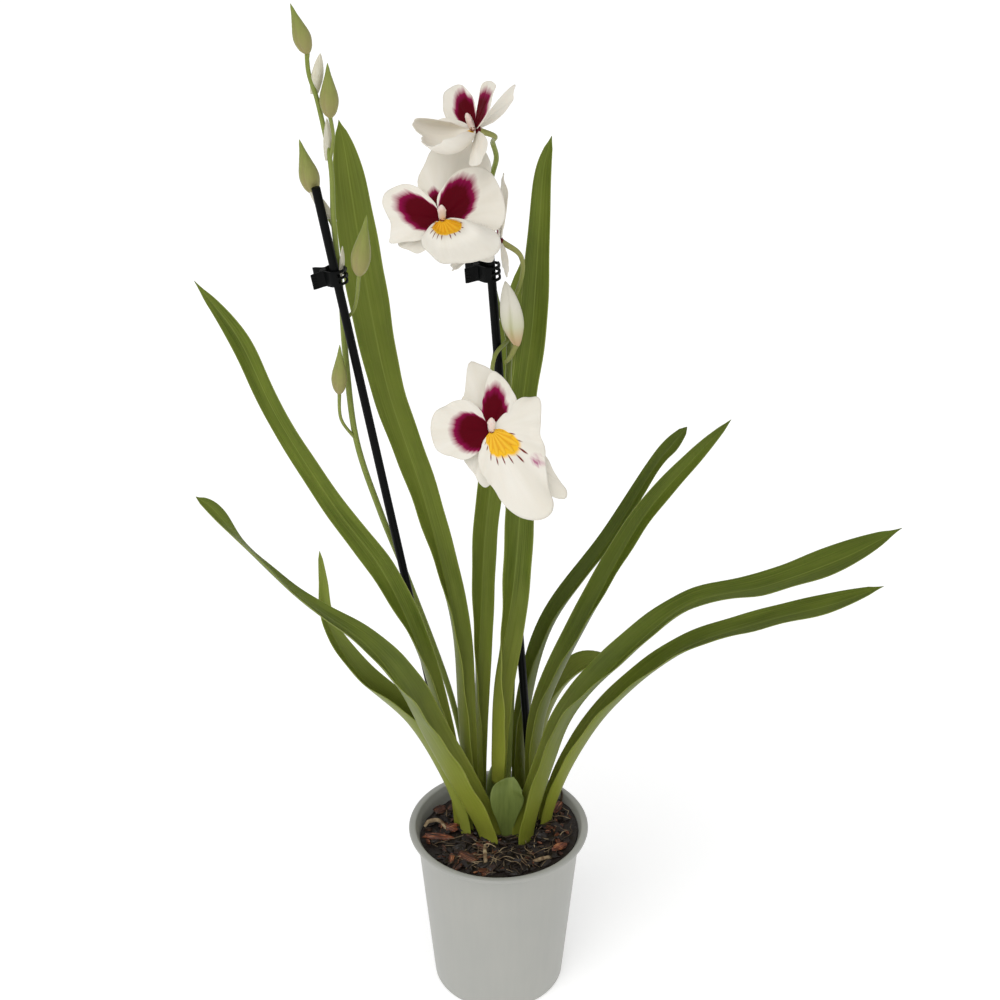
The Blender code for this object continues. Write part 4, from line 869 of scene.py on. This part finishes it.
# Of each blade: its kind, outline, slopes towards the face from foot to tip, cup, frill, layer, and the
# outline of its blotch or mask.
BLADES = {
    "bloom_low": [
        ("sepal", [(60, 12), (68, 21), (79, 29.5), (89, 34.5), (98, 38), (106, 40.5), (115, 31.5), (125, 25),
         (141, 22), (152, 12)], (-4, -12), -0.05, 0.9, -1.6, [(106, 4), (118, 13), (126, 16), (134, 14),
         (144, 4)]),
        ("sepal", [(214, 10), (224, 21), (236, 23.5), (248, 26), (255, 29.5), (264, 32), (273, 26.5),
         (284, 14)], (-6, -14), -0.05, 0.8, -1.6, None),
        ("sepal", [(303, 22), (310, 44), (313, 53), (317, 57.5), (321, 55), (323, 49), (327, 41.5), (335, 33),
         (342, 16)], (-6, -12), -0.05, 0.8, -1.7, None),
        ("petal", [(114, 8), (124, 19), (140, 25.5), (151, 28.5), (161, 32.5), (173, 33.5), (187, 33),
         (199, 32), (207, 29), (213, 26), (229, 21), (242, 10)], (8, -4), 0.06, 1.2, 0.0, [(118, 4), (128, 8),
         (136, 13), (149, 18), (165, 20.5), (180, 21), (197, 20), (215, 18), (236, 14), (252, 5)]),
        ("petal", [(124, 7), (112, 13), (100, 20), (94, 27.5), (88, 32.5), (80, 31), (71, 28), (60, 24.5),
         (46, 21), (32, 15), (8, 7)], (8, -4), 0.06, 1.2, 0.2, [(130, 4), (111, 12), (104, 17.5), (92, 22),
         (83, 24.5), (73, 21.5), (59, 16), (38, 10), (5, 5)]),
        ("lip", [(52, 10), (49, 20), (45, 25), (39, 28), (32, 32), (14, 28.5), (-6, 27), (-18, 31), (-32, 35),
         (-43, 42), (-48, 48.5), (-51, 54), (-56, 57.5), (-63, 57), (-71, 52.5), (-77, 47), (-83, 40),
         (-88, 33), (-96, 28), (-107, 22.5), (-116, 16.5), (-128, 7)], (6, -8), -0.02, 1.6, 1.2, [(-132, 4),
         (-103, 8.5), (-90, 14), (-75, 16.5), (-58, 18), (-43, 20), (-27, 19), (-17, 14), (-6, 8), (10, 4)]),
    ],
    "bloom_middle": [
        ("sepal", [(36, 18), (46, 35), (57, 41.5), (67, 44), (80, 43.5), (94, 41), (103, 36.5), (111, 30.5),
         (125, 24.5), (138, 15)], (-4, -14), -0.05, 0.9, -1.6, [(86, 4), (98, 13), (108, 16), (120, 14.5),
         (134, 4)]),
        ("sepal", [(186, 10), (198, 22), (210, 27), (222, 24), (236, 21), (250, 10)], (-4, -10), -0.05, 0.8,
         -1.6, None),
        ("sepal", [(296, 12), (310, 26), (321, 34), (331, 29), (344, 13)], (-8, -18), -0.05, 0.8, -1.6, None),
        ("petal", [(116, 8), (122, 12.5), (129, 20), (137, 25.5), (144, 28.5), (156, 32.5), (166, 32.5),
         (174, 30), (186, 27), (199, 28.5), (206, 30), (213, 22), (226, 15), (238, 8)], (8, -4), 0.06, 1.2,
         0.0, [(118, 5), (129, 9), (136, 16), (144, 22), (156, 25), (166, 24), (180, 19.5), (196, 15),
         (218, 10), (236, 4)]),
        ("petal", [(112, 7), (104, 11), (88, 17), (78, 23), (67, 28.5), (55, 33), (45, 34.5), (33, 34),
         (20, 33.5), (7, 33), (-4, 31.5), (-12, 28), (-20, 20), (-30, 9)], (8, -4), 0.06, 1.2, 0.1, [(114, 4),
         (105, 7), (92, 12.5), (79, 19), (67, 23), (55, 24.5), (40, 21.5), (20, 16.5), (3, 11.5), (-18, 5)]),
        ("lip", [(216, 11), (226, 23), (236, 28), (252, 31), (263, 35), (272, 38), (290, 40), (307, 46),
         (320, 52), (329, 56), (338, 55), (345, 49), (350, 38), (356, 15)], (35, 40, 78, 60, -55, -60, -45),
         0.02, 1.4, 0.9, [(212, 6), (238, 14), (267, 17), (301, 19), (325, 22), (342, 19), (353, 9)]),
    ],
    "bloom_behind": [
        ("sepal", rounded(95, 37, 24), (8, -2), -0.05, 0.8, -1.6, None),
        ("sepal", rounded(228, 22, 15), (-8, -14), -0.05, 0.7, -1.6, None),
        ("sepal", rounded(306, 20, 15), (-8, -14), -0.05, 0.7, -1.6, None),
        ("petal", rounded(150, 30, 26), (-6, -12), 0.06, 1.0, 0.0, rounded(150, 21, 17)),
        ("petal", rounded(40, 32, 26), (10, 2), 0.06, 1.0, 0.1, rounded(40, 23, 18)),
        ("lip", rounded(268, 30, 26), (58, 48), 0.02, 1.2, 0.9, rounded(268, 13, 10)),
    ],
    "bloom_top": [
        ("sepal", [(50, 8), (64, 17.5), (78, 25), (90, 31.5), (98, 25), (102, 12)], (-22, -32), -0.05, 0.8,
         -1.6, None),
        ("sepal", rounded(206, 27, 17), (30, 24), -0.05, 0.8, -1.6, None),
        ("sepal", rounded(322, 26, 15), (22, 16), -0.05, 0.8, -1.6, None),
        ("petal", [(200, 9), (188, 20), (176, 26), (164, 31), (154, 33.5), (145, 30.5), (136, 27),
         (125, 19.5), (106, 8)], (8, 0), 0.06, 1.0, 0.0, [(196, 5), (184, 9), (176, 12), (163, 19), (150, 24),
         (137, 23), (126, 17), (106, 7)]),
        ("petal", [(20, 8), (38, 28), (47, 34.5), (60, 31.5), (70, 25), (77, 9)], (28, 22), 0.06, 1.0, 0.1,
         [(20, 6), (38, 22), (47, 27), (60, 25), (70, 21), (77, 8)]),
        ("lip", [(188, 14), (199, 35), (215, 36), (232, 33), (248, 34), (268, 35), (288, 36), (306, 33),
         (322, 24), (334, 10)], (10, 110), 0.02, 1.5, 0.9, rounded(262, 9, 8)),
    ],
}


def living_petal():
    """A living petal: thin, matte and a little see-through, with its colour laid along the veins."""
    made, tree = material(
        "living petal", IOR=1.4, Roughness=0.6, Specular_IOR_Level=0.08, Subsurface_Weight=0.08,
        Subsurface_Radius=(1.0, 0.8, 0.7), Subsurface_Scale=0.0008)
    place = add(tree, "Attribute", {}, "Vector", attribute_name="petal_place")
    # Veins 4 degrees apart round the bloom's middle, and 12 mm long between forks.
    vein = streaks(tree, (0.25, 0.085, 40.0), 3.0, place)
    broad = streaks(tree, (0.075, 0.0255, 12.0), 2.0, place)
    blotch, mask, whisker, blush = (
        add(tree, "Attribute", {}, "Fac", attribute_name=name) for name in ("blotch", "mask", "whisker",
                                                                            "blush"))
    feather = add(tree, "Math", {0: vein, 1: 0.16, 2: -0.08}, operation="MULTIPLY_ADD")
    drawn, ragged = (add(tree, "Math", {0: edge, 1: feather}, operation="ADD") for edge in (blotch, mask))
    spotted = add(tree, "Math", {0: blush, 1: vein}, operation="MULTIPLY")
    return dress(
        made, "DDD7C8", (broad, 0, 1, 1, "ECE8DF"), (drawn, -0.15, 0.05, 1, "92104E"),
        (drawn, -0.02, 0.22, 1, "560010"), (ragged, 0, 0.12, 1, "EFBB2A"), (whisker, 0.45, 0.75, 1, "74241E"),
        (spotted, 0.16, 0.5, 0.85, "A8457A"), relief=(vein, 0.25, 0.0004))


def reach_at(outline, angle):
    """How far an outline reaches at an angle, in millimetres, and 0 outside it."""
    rows = sorted(outline)
    for (a, near), (b, far) in zip(rows, rows[1:]):
        if a <= angle <= b:
            return near + (far - near) * (0.5 - 0.5 * math.cos(math.pi * (angle - a) / (b - a)))
    return 0.0


def run_along(slopes, share):
    """How far out and how high a blade has run at a share of its length, for a length of one."""
    out, rise, steps = 0.0, 0.0, 24
    for k in range(steps):
        at = share * (k + 0.5) / steps * (len(slopes) - 1)
        low = min(int(at), len(slopes) - 2)
        slope = math.radians(slopes[low] + (slopes[low + 1] - slopes[low]) * (at - low))
        out += math.cos(slope) * share / steps
        rise += math.sin(slope) * share / steps
    return out, rise


def blade_point(blade, angle, reach, share, run):
    """The point of a blade at an angle, at a share of its reach there in millimetres."""
    _, outline, _, cup, frill, layer, _ = blade
    angles = [a for a, _ in outline]
    aside = (2 * angle - max(angles) - min(angles)) / (max(angles) - min(angles))
    wave = math.sin(0.2 * angle + 2 * layer) + 0.7 * math.sin(0.43 * angle - 4 * share + 3 * layer)
    swell = noise.noise(Vector((0.045 * angle, 2.6 * share, 5.0 * layer)))
    frill *= min(1.0, reach / 25) ** 2
    lift = cup * reach * share * aside * aside + frill * (0.55 * share ** 5 * wave + 1.1 * share * swell)
    lift -= 0.45 * math.exp(-(aside / 0.08) ** 2) * min(1, reach * share / 8)
    out, rise = 0.8 + reach * run[0], layer + reach * run[1] + lift
    turn = math.radians(angle)
    return Vector((out * math.cos(turn), out * math.sin(turn), rise)) * 0.001


def make_petals(name, blades, skin):
    """The six blades of a bloom and the small boss that they grow from, in one piece."""
    frame_of = bloom_frame(*PLACES[name])
    heap = ([], [], [], [], [], [], [])
    for number, blade in enumerate(blades):
        kind, outline, slopes, marks = blade[0], blade[1], blade[2], blade[6]
        rows, wide, length = 30, COLUMNS[kind], max(r for _, r in outline)
        edge_line = through(sorted(([float(a), float(r)] for a, r in outline), reverse=True), wide - 1)
        shares = [0.02 + 0.98 * k / rows for k in range(rows + 1)]
        middle, halves = [], []
        for share in shares:
            run = run_along(slopes, share)
            middle.append([frame_of @ blade_point(blade, angle, reach, share, run) for angle,
                           reach in edge_line])
            halves.append([PETAL_THICK / 2 * (1 - 0.6 * share ** 6)] * wide)
        points, faces, where = grid_shell(middle, halves)
        spread = [[], [], [], [], []]
        for k, i, side in where:
            angle, reach = edge_line[i]
            reach *= shares[k]
            inside = 1 - reach / max(0.1, reach_at(marks, angle)) if marks else -1.0
            blotch = mask = -1.0
            whisker = blush = 0.0
            if side > 0 and kind != "lip":
                blotch = inside
            elif side > 0:
                mask = inside
                stripe = math.cos(math.radians(angle * 360 / WHISKER_STEP)) * 0.5 + 0.5
                far = 0.04 + 0.22 * noise.noise(Vector((0.12 * angle, 0.0, 3.0)))
                whisker = stripe ** 6 * max(0.0, 1 - abs(inside + far) / 0.24) ** 0.5 * 1.2
                if name == "bloom_low":
                    notch = math.hypot((reach - 0.53 * length) / 7.5, math.radians(angle + 35) * reach / 5.5)
                    patchy = 0.75 + 0.6 * noise.noise(Vector((0.3 * angle, 0.9 * reach, 9.0)))
                    blush = patchy * max(0.0, 1.2 - notch)
            for kept, value in zip(spread, ((angle, reach, number / 8), blotch, mask, whisker, blush)):
                kept.append(value)
        pile(heap, points, faces, *spread)
    boss, boss_faces = turned([(BOSS_RADIUS * a, BOSS_HALF * b - BOSS_DROP) for a, b in ball_profile(12)], 20)
    pile(heap, [frame_of @ p for p in boss], boss_faces, (0.0, 0.0, 0.9), 0.5, -1.0, 0.0, 0.0)
    points, faces, *marks = heap
    piece("living_" + name + "_petals", points, faces, skin, "petal", [name + "_petals"],
          **dict(zip(("petal_place", "blotch", "mask", "whisker", "blush"), marks)))


petal_skin = living_petal()
for name, blades in BLADES.items():
    make_petals(name, blades, petal_skin)

# ---------------------------------------------------------------------------------------------
# The crest of each lip: a fan of waxy yellow ridges that leads to the column, and the column above it,
# a pale pink finger with small side wings and a cap over the pollen.

CREST_HALF_THICK = 0.0003
CREST_START, RIDGE_STEP = 1.2, 15.5
COLUMN_LONG, COLUMN_WIDE, COLUMN_DEEP, COLUMN_LEAN = 0.0104, 0.0021, 0.0018, -42
COLUMN_FOOT = Vector((0.0, -0.0006, 0.0014))


def waxy_crest():
    """The waxy ridges of a lip: smooth, warm yellow, more orange between them."""
    made, tree = material("waxy petal crest", IOR=1.4, Roughness=0.45, Specular_IOR_Level=0.3)
    ridge = add(tree, "Attribute", {}, "Fac", attribute_name="ridge")
    return dress(made, "E0A018", (ridge, 0, 1, 1, "F2C232"))


def pale_column():
    """The column's skin: a translucent pale pink, with wine specks at its foot."""
    made, tree = material(
        "pale column skin", IOR=1.4, Roughness=0.4, Specular_IOR_Level=0.3, Subsurface_Weight=0.2,
        Subsurface_Radius=(1.0, 0.6, 0.5), Subsurface_Scale=0.0008)
    place = add(tree, "TexCoord", {}, "Object")
    fleck = add(tree, "TexNoise", {"Vector": place, "Scale": 1100.0, "Detail": 1.0})
    foot = add(tree, "Attribute", {}, "Fac", attribute_name="foot")
    speck = add(tree, "Math", {0: fleck, 1: foot}, operation="MULTIPLY")
    return dress(made, "E6D3C8", (speck, 0.36, 0.44, 1, "8A4A3A"))


def make_crest(name, blades, wax):
    """Low uneven ridges on the mask, from the column to the mask's ragged front."""
    frame_of = bloom_frame(*PLACES[name])
    lip = blades[-1]
    outline, mask = lip[1], lip[6]
    turns = [a for a, _ in mask]
    low, high = min(turns) + 16, max(turns) - 12
    rows, wide = 18, 71
    middle, ridges = [], []
    for i in range(wide):
        angle = high + (low - high) * i / (wide - 1)
        uneven = noise.noise(Vector((0.08 * angle, 0.0, 7.0)))
        ridges.append((0.5 + 0.5 * math.cos(math.radians(angle * 360 / RIDGE_STEP))) * (0.75 + 0.5 * uneven))
    for k in range(rows + 1):
        line = []
        for i, ridge in enumerate(ridges):
            angle = high + (low - high) * i / (wide - 1)
            full = reach_at(outline, angle)
            reach = CREST_START + (reach_at(mask, angle) * (0.66 + 0.24 * ridge) - CREST_START) * k / rows
            share = max(0.0, reach) / full
            height = 0.36 + (0.05 + 0.42 * ridge) * math.sin(math.pi * (0.12 + 0.88 * k / rows)) ** 0.7
            point = blade_point(lip, angle, full, share, run_along(lip[2], share))
            line.append(frame_of @ (point + Vector((0.0, 0.0, 0.001 * height))))
        middle.append(line)
    points, faces, where = grid_shell(middle, [[CREST_HALF_THICK] * wide] * (rows + 1))
    piece("waxy_" + name + "_crest", points, faces, wax, "crest", [name + "_crest"],
          ridge=[ridges[i] for _, i, _ in where])


def make_column(name, skin):
    """A short smooth column that leans forward, with two small wings beside its cap."""
    frame_of = bloom_frame(*PLACES[name])
    lean = Matrix.Rotation(math.radians(COLUMN_LEAN), 3, "X")
    sides, rows = 40, 36
    points, feet = [], []
    for k in range(rows + 1):
        t = k / rows
        full = (0.8 + 0.2 * math.sin(math.pi * min(1.0, 1.15 * t))) * min(1.0, (5 * (1 - t)) ** 0.5)
        full *= 1 - 0.06 * math.exp(-((t - 0.74) / 0.03) ** 2)
        feet += [max(0.0, 1 - 1.6 * t)] * sides
        for a, b in circle(sides):
            wing = 1 + 0.22 * math.exp(-((t - 0.66) / 0.1) ** 2) * abs(a) ** 6
            corner = Vector((COLUMN_WIDE * full * wing * a, COLUMN_DEEP * full * b, COLUMN_LONG * t))
            points.append(frame_of @ (COLUMN_FOOT + lean @ corner))
    piece("pale_" + name + "_column", points, ring_faces(rows, sides), skin, "column", [name + "_column"],
          foot=feet)


crest_wax, column_skin = waxy_crest(), pale_column()
for name, blades in BLADES.items():
    make_crest(name, blades, crest_wax)
    make_column(name, column_skin)

# ---------------------------------------------------------------------------------------------
# The opening bud: a narrow white bud whose petals are still rolled together, green at its foot.

OPENING_BUD = (Vector((0.011, -0.001, 0.47)), Vector((0.004, -0.006, 0.511)), 0.0062)
OPENING_PROFILE = [(0.0, 0.25), (0.1, 0.55), (0.3, 0.95), (0.5, 1.0), (0.7, 0.8), (0.88, 0.45), (1.0, 0.08)]


def rolled_petal():
    """A petal still rolled in its bud: cream white, greener towards the stalk."""
    made, tree = material("rolled young petal", IOR=1.4, Roughness=0.6, Specular_IOR_Level=0.15)
    ripe = add(tree, "Attribute", {}, "Fac", attribute_name="ripe")
    height = add(tree, "SeparateXYZ", {"Vector": add(tree, "TexCoord", {}, "Object")}, "Z")
    return dress(made, "DEDACB", (ripe, 0.25, 0.9, 1, "B9BB86"), (height, 0.484, 0.473, 0.7, "D3A988"))


points, faces, ripe = closed_bud(*OPENING_BUD, OPENING_PROFILE, 0.8)
piece("rolled_white_bud", points, faces, rolled_petal(), "petal", ["opening_bud"], ripe=ripe)

# ---------------------------------------------------------------------------------------------
# The stakes: straight black rods, extruded in ABS and cut to length, pushed into the medium. Clips of
# the same plastic hold the stems: two moulded jaws on a pin with a small coil of spring wire.

STAKES = {
    "left_stake": ((-0.011, 0.027, 0.02), (-0.103, 0.016, 0.559)),
    "right_stake": ((0.0284, 0.0292, 0.05), (-0.006, 0.004, 0.54)),
}
STAKE_RADIUS = 0.0026
# Of each clip: where its pin is, and the stake that it grips.
CLIPS = {
    "left_clip": ((-0.101, 0.0205, 0.504), "left_stake"),
    "right_clip": ((-0.0122, 0.0085, 0.512), "right_stake"),
}
CLIP_HEIGHT, CLIP_WALL, FINGER_HEIGHT, WEB_WALL = 0.0096, 0.0014, 0.0015, 0.0018
CLIP_ARM = [(-0.0067, -0.0062), (0.0, -0.0031), (0.0025, -0.0048), (0.005, -0.0068), (0.0087, -0.0071)]
CLIP_FINGER = [(0.0083, -0.0071), (0.0111, -0.006), (0.0129, -0.003), (0.0125, 0.0018)]
FRONT_FINGERS, BACK_FINGERS = (-0.0037, 0.0, 0.0037), (-0.00185, 0.00185)
FRONT_KNUCKLES = ((-0.003, -0.0018), (0.0018, 0.003))
BACK_KNUCKLES = ((-0.0046, -0.0033), (0.0033, 0.0046))
PIN_RADIUS, PIN_HALF, PIN_GAP = 0.0008, 0.0046, 0.0003
KNUCKLE_WEB = [(-0.0009, -0.0022), (0.0009, -0.0022)]
KNUCKLE_RADIUS, CHAMFER = 0.002, 0.0002
GRIP_LEVELS, GRIP_HALF, GRIP_WALL = (-0.36, -0.18, 0.0, 0.18, 0.36), 0.0003, 0.0012
GRIP_RIDGE = [(-0.0064, -0.0065), (-0.004, -0.0054)]
SPRING_RADIUS, SPRING_HALF, SPRING_TURNS, SPRING_CORNERS, WIRE_RADIUS = 0.0015, 0.0011, 4, 12, 0.00025


def black_abs(name, hex_colour, roughness):
    """Black ABS: nearly no colour of its own, with a low sheen broken by fine lines."""
    made, tree = material(name, IOR=1.53, Roughness=roughness, Specular_IOR_Level=0.07)
    line = streaks(tree, (1500.0, 1500.0, 40.0), 2.0)
    return dress(made, "040505", (line, 0, 1, 1, hex_colour), relief=(line, 0.15, 0.0002))


rod_skin = black_abs("extruded black ABS", "0E0F0F", 0.42)
for name, (foot, head) in STAKES.items():
    route = [Vector(foot).lerp(Vector(head), k / 24) for k in range(25)]
    points, faces, _ = pipe(route, [STAKE_RADIUS] * 25, 32, 48)
    made = piece("extruded_" + name, points, faces, rod_skin, "stake", [name])
    edge = made.modifiers.new("cut end", "BEVEL")
    edge.width, edge.segments, edge.limit_method, edge.angle_limit = 0.0003, 2, "ANGLE", math.radians(50)


def spring_wire():
    """Drawn spring steel wire, bright but dulled by handling."""
    made, tree = material("drawn spring steel", Metallic=1.0, Roughness=0.35)
    place = add(tree, "TexCoord", {}, "Object")
    dull = add(tree, "TexNoise", {"Vector": place, "Scale": 1500.0, "Detail": 2.0})
    return dress(made, "6E6E6C", (dull, 0, 1, 1, "9A9A97"))


def clip_wall(heap, route, side, low, high, wall):
    """Adds a strip of a clip's wall along a route in plan, between two heights, with rounded edges."""
    last, ring = 10 * (len(route) - 1), 16
    centres = [Vector((x, side * y, 0.0)) for x, y in through(route, last)]
    points = []
    middle, tall = (low + high) / 2, (high - low) / 2
    for k, centre in enumerate(centres):
        along = (centres[min(k + 1, last)] - centres[max(k - 1, 0)]).normalized()
        out = Vector((-along.y, along.x, 0.0))
        ends = min(1.0, 0.55 + 0.45 * min(k, last - k) / 2)
        for a, b in circle(ring):
            across = math.copysign(abs(a) ** 0.4, a) * wall / 2 * ends
            up = math.copysign(abs(b) ** 0.4, b) * tall * (0.9 + 0.1 * ends)
            points.append(centre + across * out + Vector((0, 0, middle + up)))
    pile(heap, points, ring_faces(last, ring, True))


def make_jaw(name, side, knuckles, fingers, with_pin, skin, body, place):
    """One moulded jaw: its bent arm, the fingers that close round stem and stake, its knuckles and, on
    the back jaw, the hinge pin."""
    heap = ([], [])
    half = CLIP_HEIGHT / 2
    clip_wall(heap, CLIP_ARM, side, -half, half, CLIP_WALL)
    for level in GRIP_LEVELS:
        middle = level * CLIP_HEIGHT
        clip_wall(heap, GRIP_RIDGE, side, middle - GRIP_HALF, middle + GRIP_HALF, GRIP_WALL)
    for level in fingers:
        clip_wall(heap, CLIP_FINGER, side, level - FINGER_HEIGHT / 2, level + FINGER_HEIGHT / 2, CLIP_WALL)
    for low, high in knuckles:
        bore = 0.0 if with_pin else PIN_RADIUS + PIN_GAP
        profile = [
            (bore, high), (bore, low), (KNUCKLE_RADIUS - CHAMFER, low), (KNUCKLE_RADIUS, low + CHAMFER),
            (KNUCKLE_RADIUS, high - CHAMFER), (KNUCKLE_RADIUS - CHAMFER, high), (bore, high),
        ]
        pile(heap, *turned(profile, 28))
        clip_wall(heap, KNUCKLE_WEB, side, low, high, WEB_WALL)
    if with_pin:
        ends = [(0.0, -PIN_HALF), (PIN_RADIUS - CHAMFER, -PIN_HALF), (PIN_RADIUS, -PIN_HALF + CHAMFER)]
        pile(heap, *turned(ends + [(radius, -height) for radius, height in reversed(ends)], 20))
    made = piece("moulded_" + name, [place @ p for p in heap[0]], heap[1], skin, "clip", [name], body)
    made.data.set_sharp_from_angle(angle=math.radians(45))


jaw_skin, wire = black_abs("moulded black ABS", "101111", 0.38), spring_wire()
for name, (pin, stake) in CLIPS.items():
    foot, head = (Vector(end) for end in STAKES[stake])
    along = (head - foot).normalized()
    right = (Vector((1, 0, 0)) - along * along.x).normalized()
    place = Matrix.Translation(Vector(pin)) @ Matrix((right, along.cross(right), along)).transposed().to_4x4()
    make_jaw(name + "_back_jaw", -1, BACK_KNUCKLES, BACK_FINGERS, True, jaw_skin, "plant", place)
    make_jaw(name + "_front_jaw", 1, FRONT_KNUCKLES, FRONT_FINGERS, False, jaw_skin, name + "_front", place)
    coil = []
    for k, (x, y) in enumerate(SPRING_TURNS * circle(SPRING_CORNERS) + [(1.0, 0.0)]):
        coil.append(place @ Vector((SPRING_RADIUS * x, SPRING_RADIUS * y, SPRING_HALF * (k / 24 - 1))))
    points, faces, _ = pipe(coil, [WIRE_RADIUS] * 4, 8, 96)
    piece("coiled_" + name + "_spring", points, faces, wire, "spring", [name + "_spring"])

# ---------------------------------------------------------------------------------------------
# The floor, the lights and the camera: a pale floor, soft light from the front and above, and the
# camera a little over a metre away, looking down on the plant.

# Of each light: where it shines from, how wide it is in degrees, and its strength.
LIGHTS = {"key": ((-0.55, -1.0, 1.25), 50, 1.25), "fill": ((1.0, -0.9, 0.7), 70, 0.35)}
CAMERA_PLACE, CAMERA_TILT, CAMERA_LENS = (0.001, -0.946, 0.863), 62.4, 63.4

board, _ = material("matt white board", Roughness=0.9, Base_Color=linear("F6F6F6"),
                       Emission_Color=(1, 1, 1, 1), Emission_Strength=0.32)
mesh = bpy.data.meshes.new("pale_floor")
mesh.from_pydata([(-8, -6, 0), (8, -6, 0), (8, 10, 0), (-8, 10, 0)], [], [(0, 1, 2, 3)])
mesh.materials.append(board)
pale_floor = bpy.data.objects.new("pale_floor", mesh)
bpy.context.scene.collection.objects.link(pale_floor)
world = bpy.data.worlds.new("soft studio")
world.use_nodes = True
plug(world.node_tree.nodes["Background"], {"Color": (1, 1, 1, 1), "Strength": 0.52})
bpy.context.scene.world = world
for name, (place, spread, power) in LIGHTS.items():
    light = bpy.data.lights.new(name, "SUN")
    light.energy, light.angle = power, math.radians(spread)
    lamp = bpy.data.objects.new(name, light)
    lamp.rotation_euler = (-Vector(place)).to_track_quat("-Z", "Y").to_euler()
    bpy.context.scene.collection.objects.link(lamp)
eye = bpy.data.cameras.new("eye")
eye.sensor_width, eye.lens = 36.0, CAMERA_LENS
camera = bpy.data.objects.new("camera", eye)
camera.location = CAMERA_PLACE
camera.rotation_euler = (math.radians(CAMERA_TILT), 0.0, 0.0)
bpy.context.scene.collection.objects.link(camera)
bpy.context.scene.camera = camera
bpy.context.scene.view_settings.view_transform = "Standard"
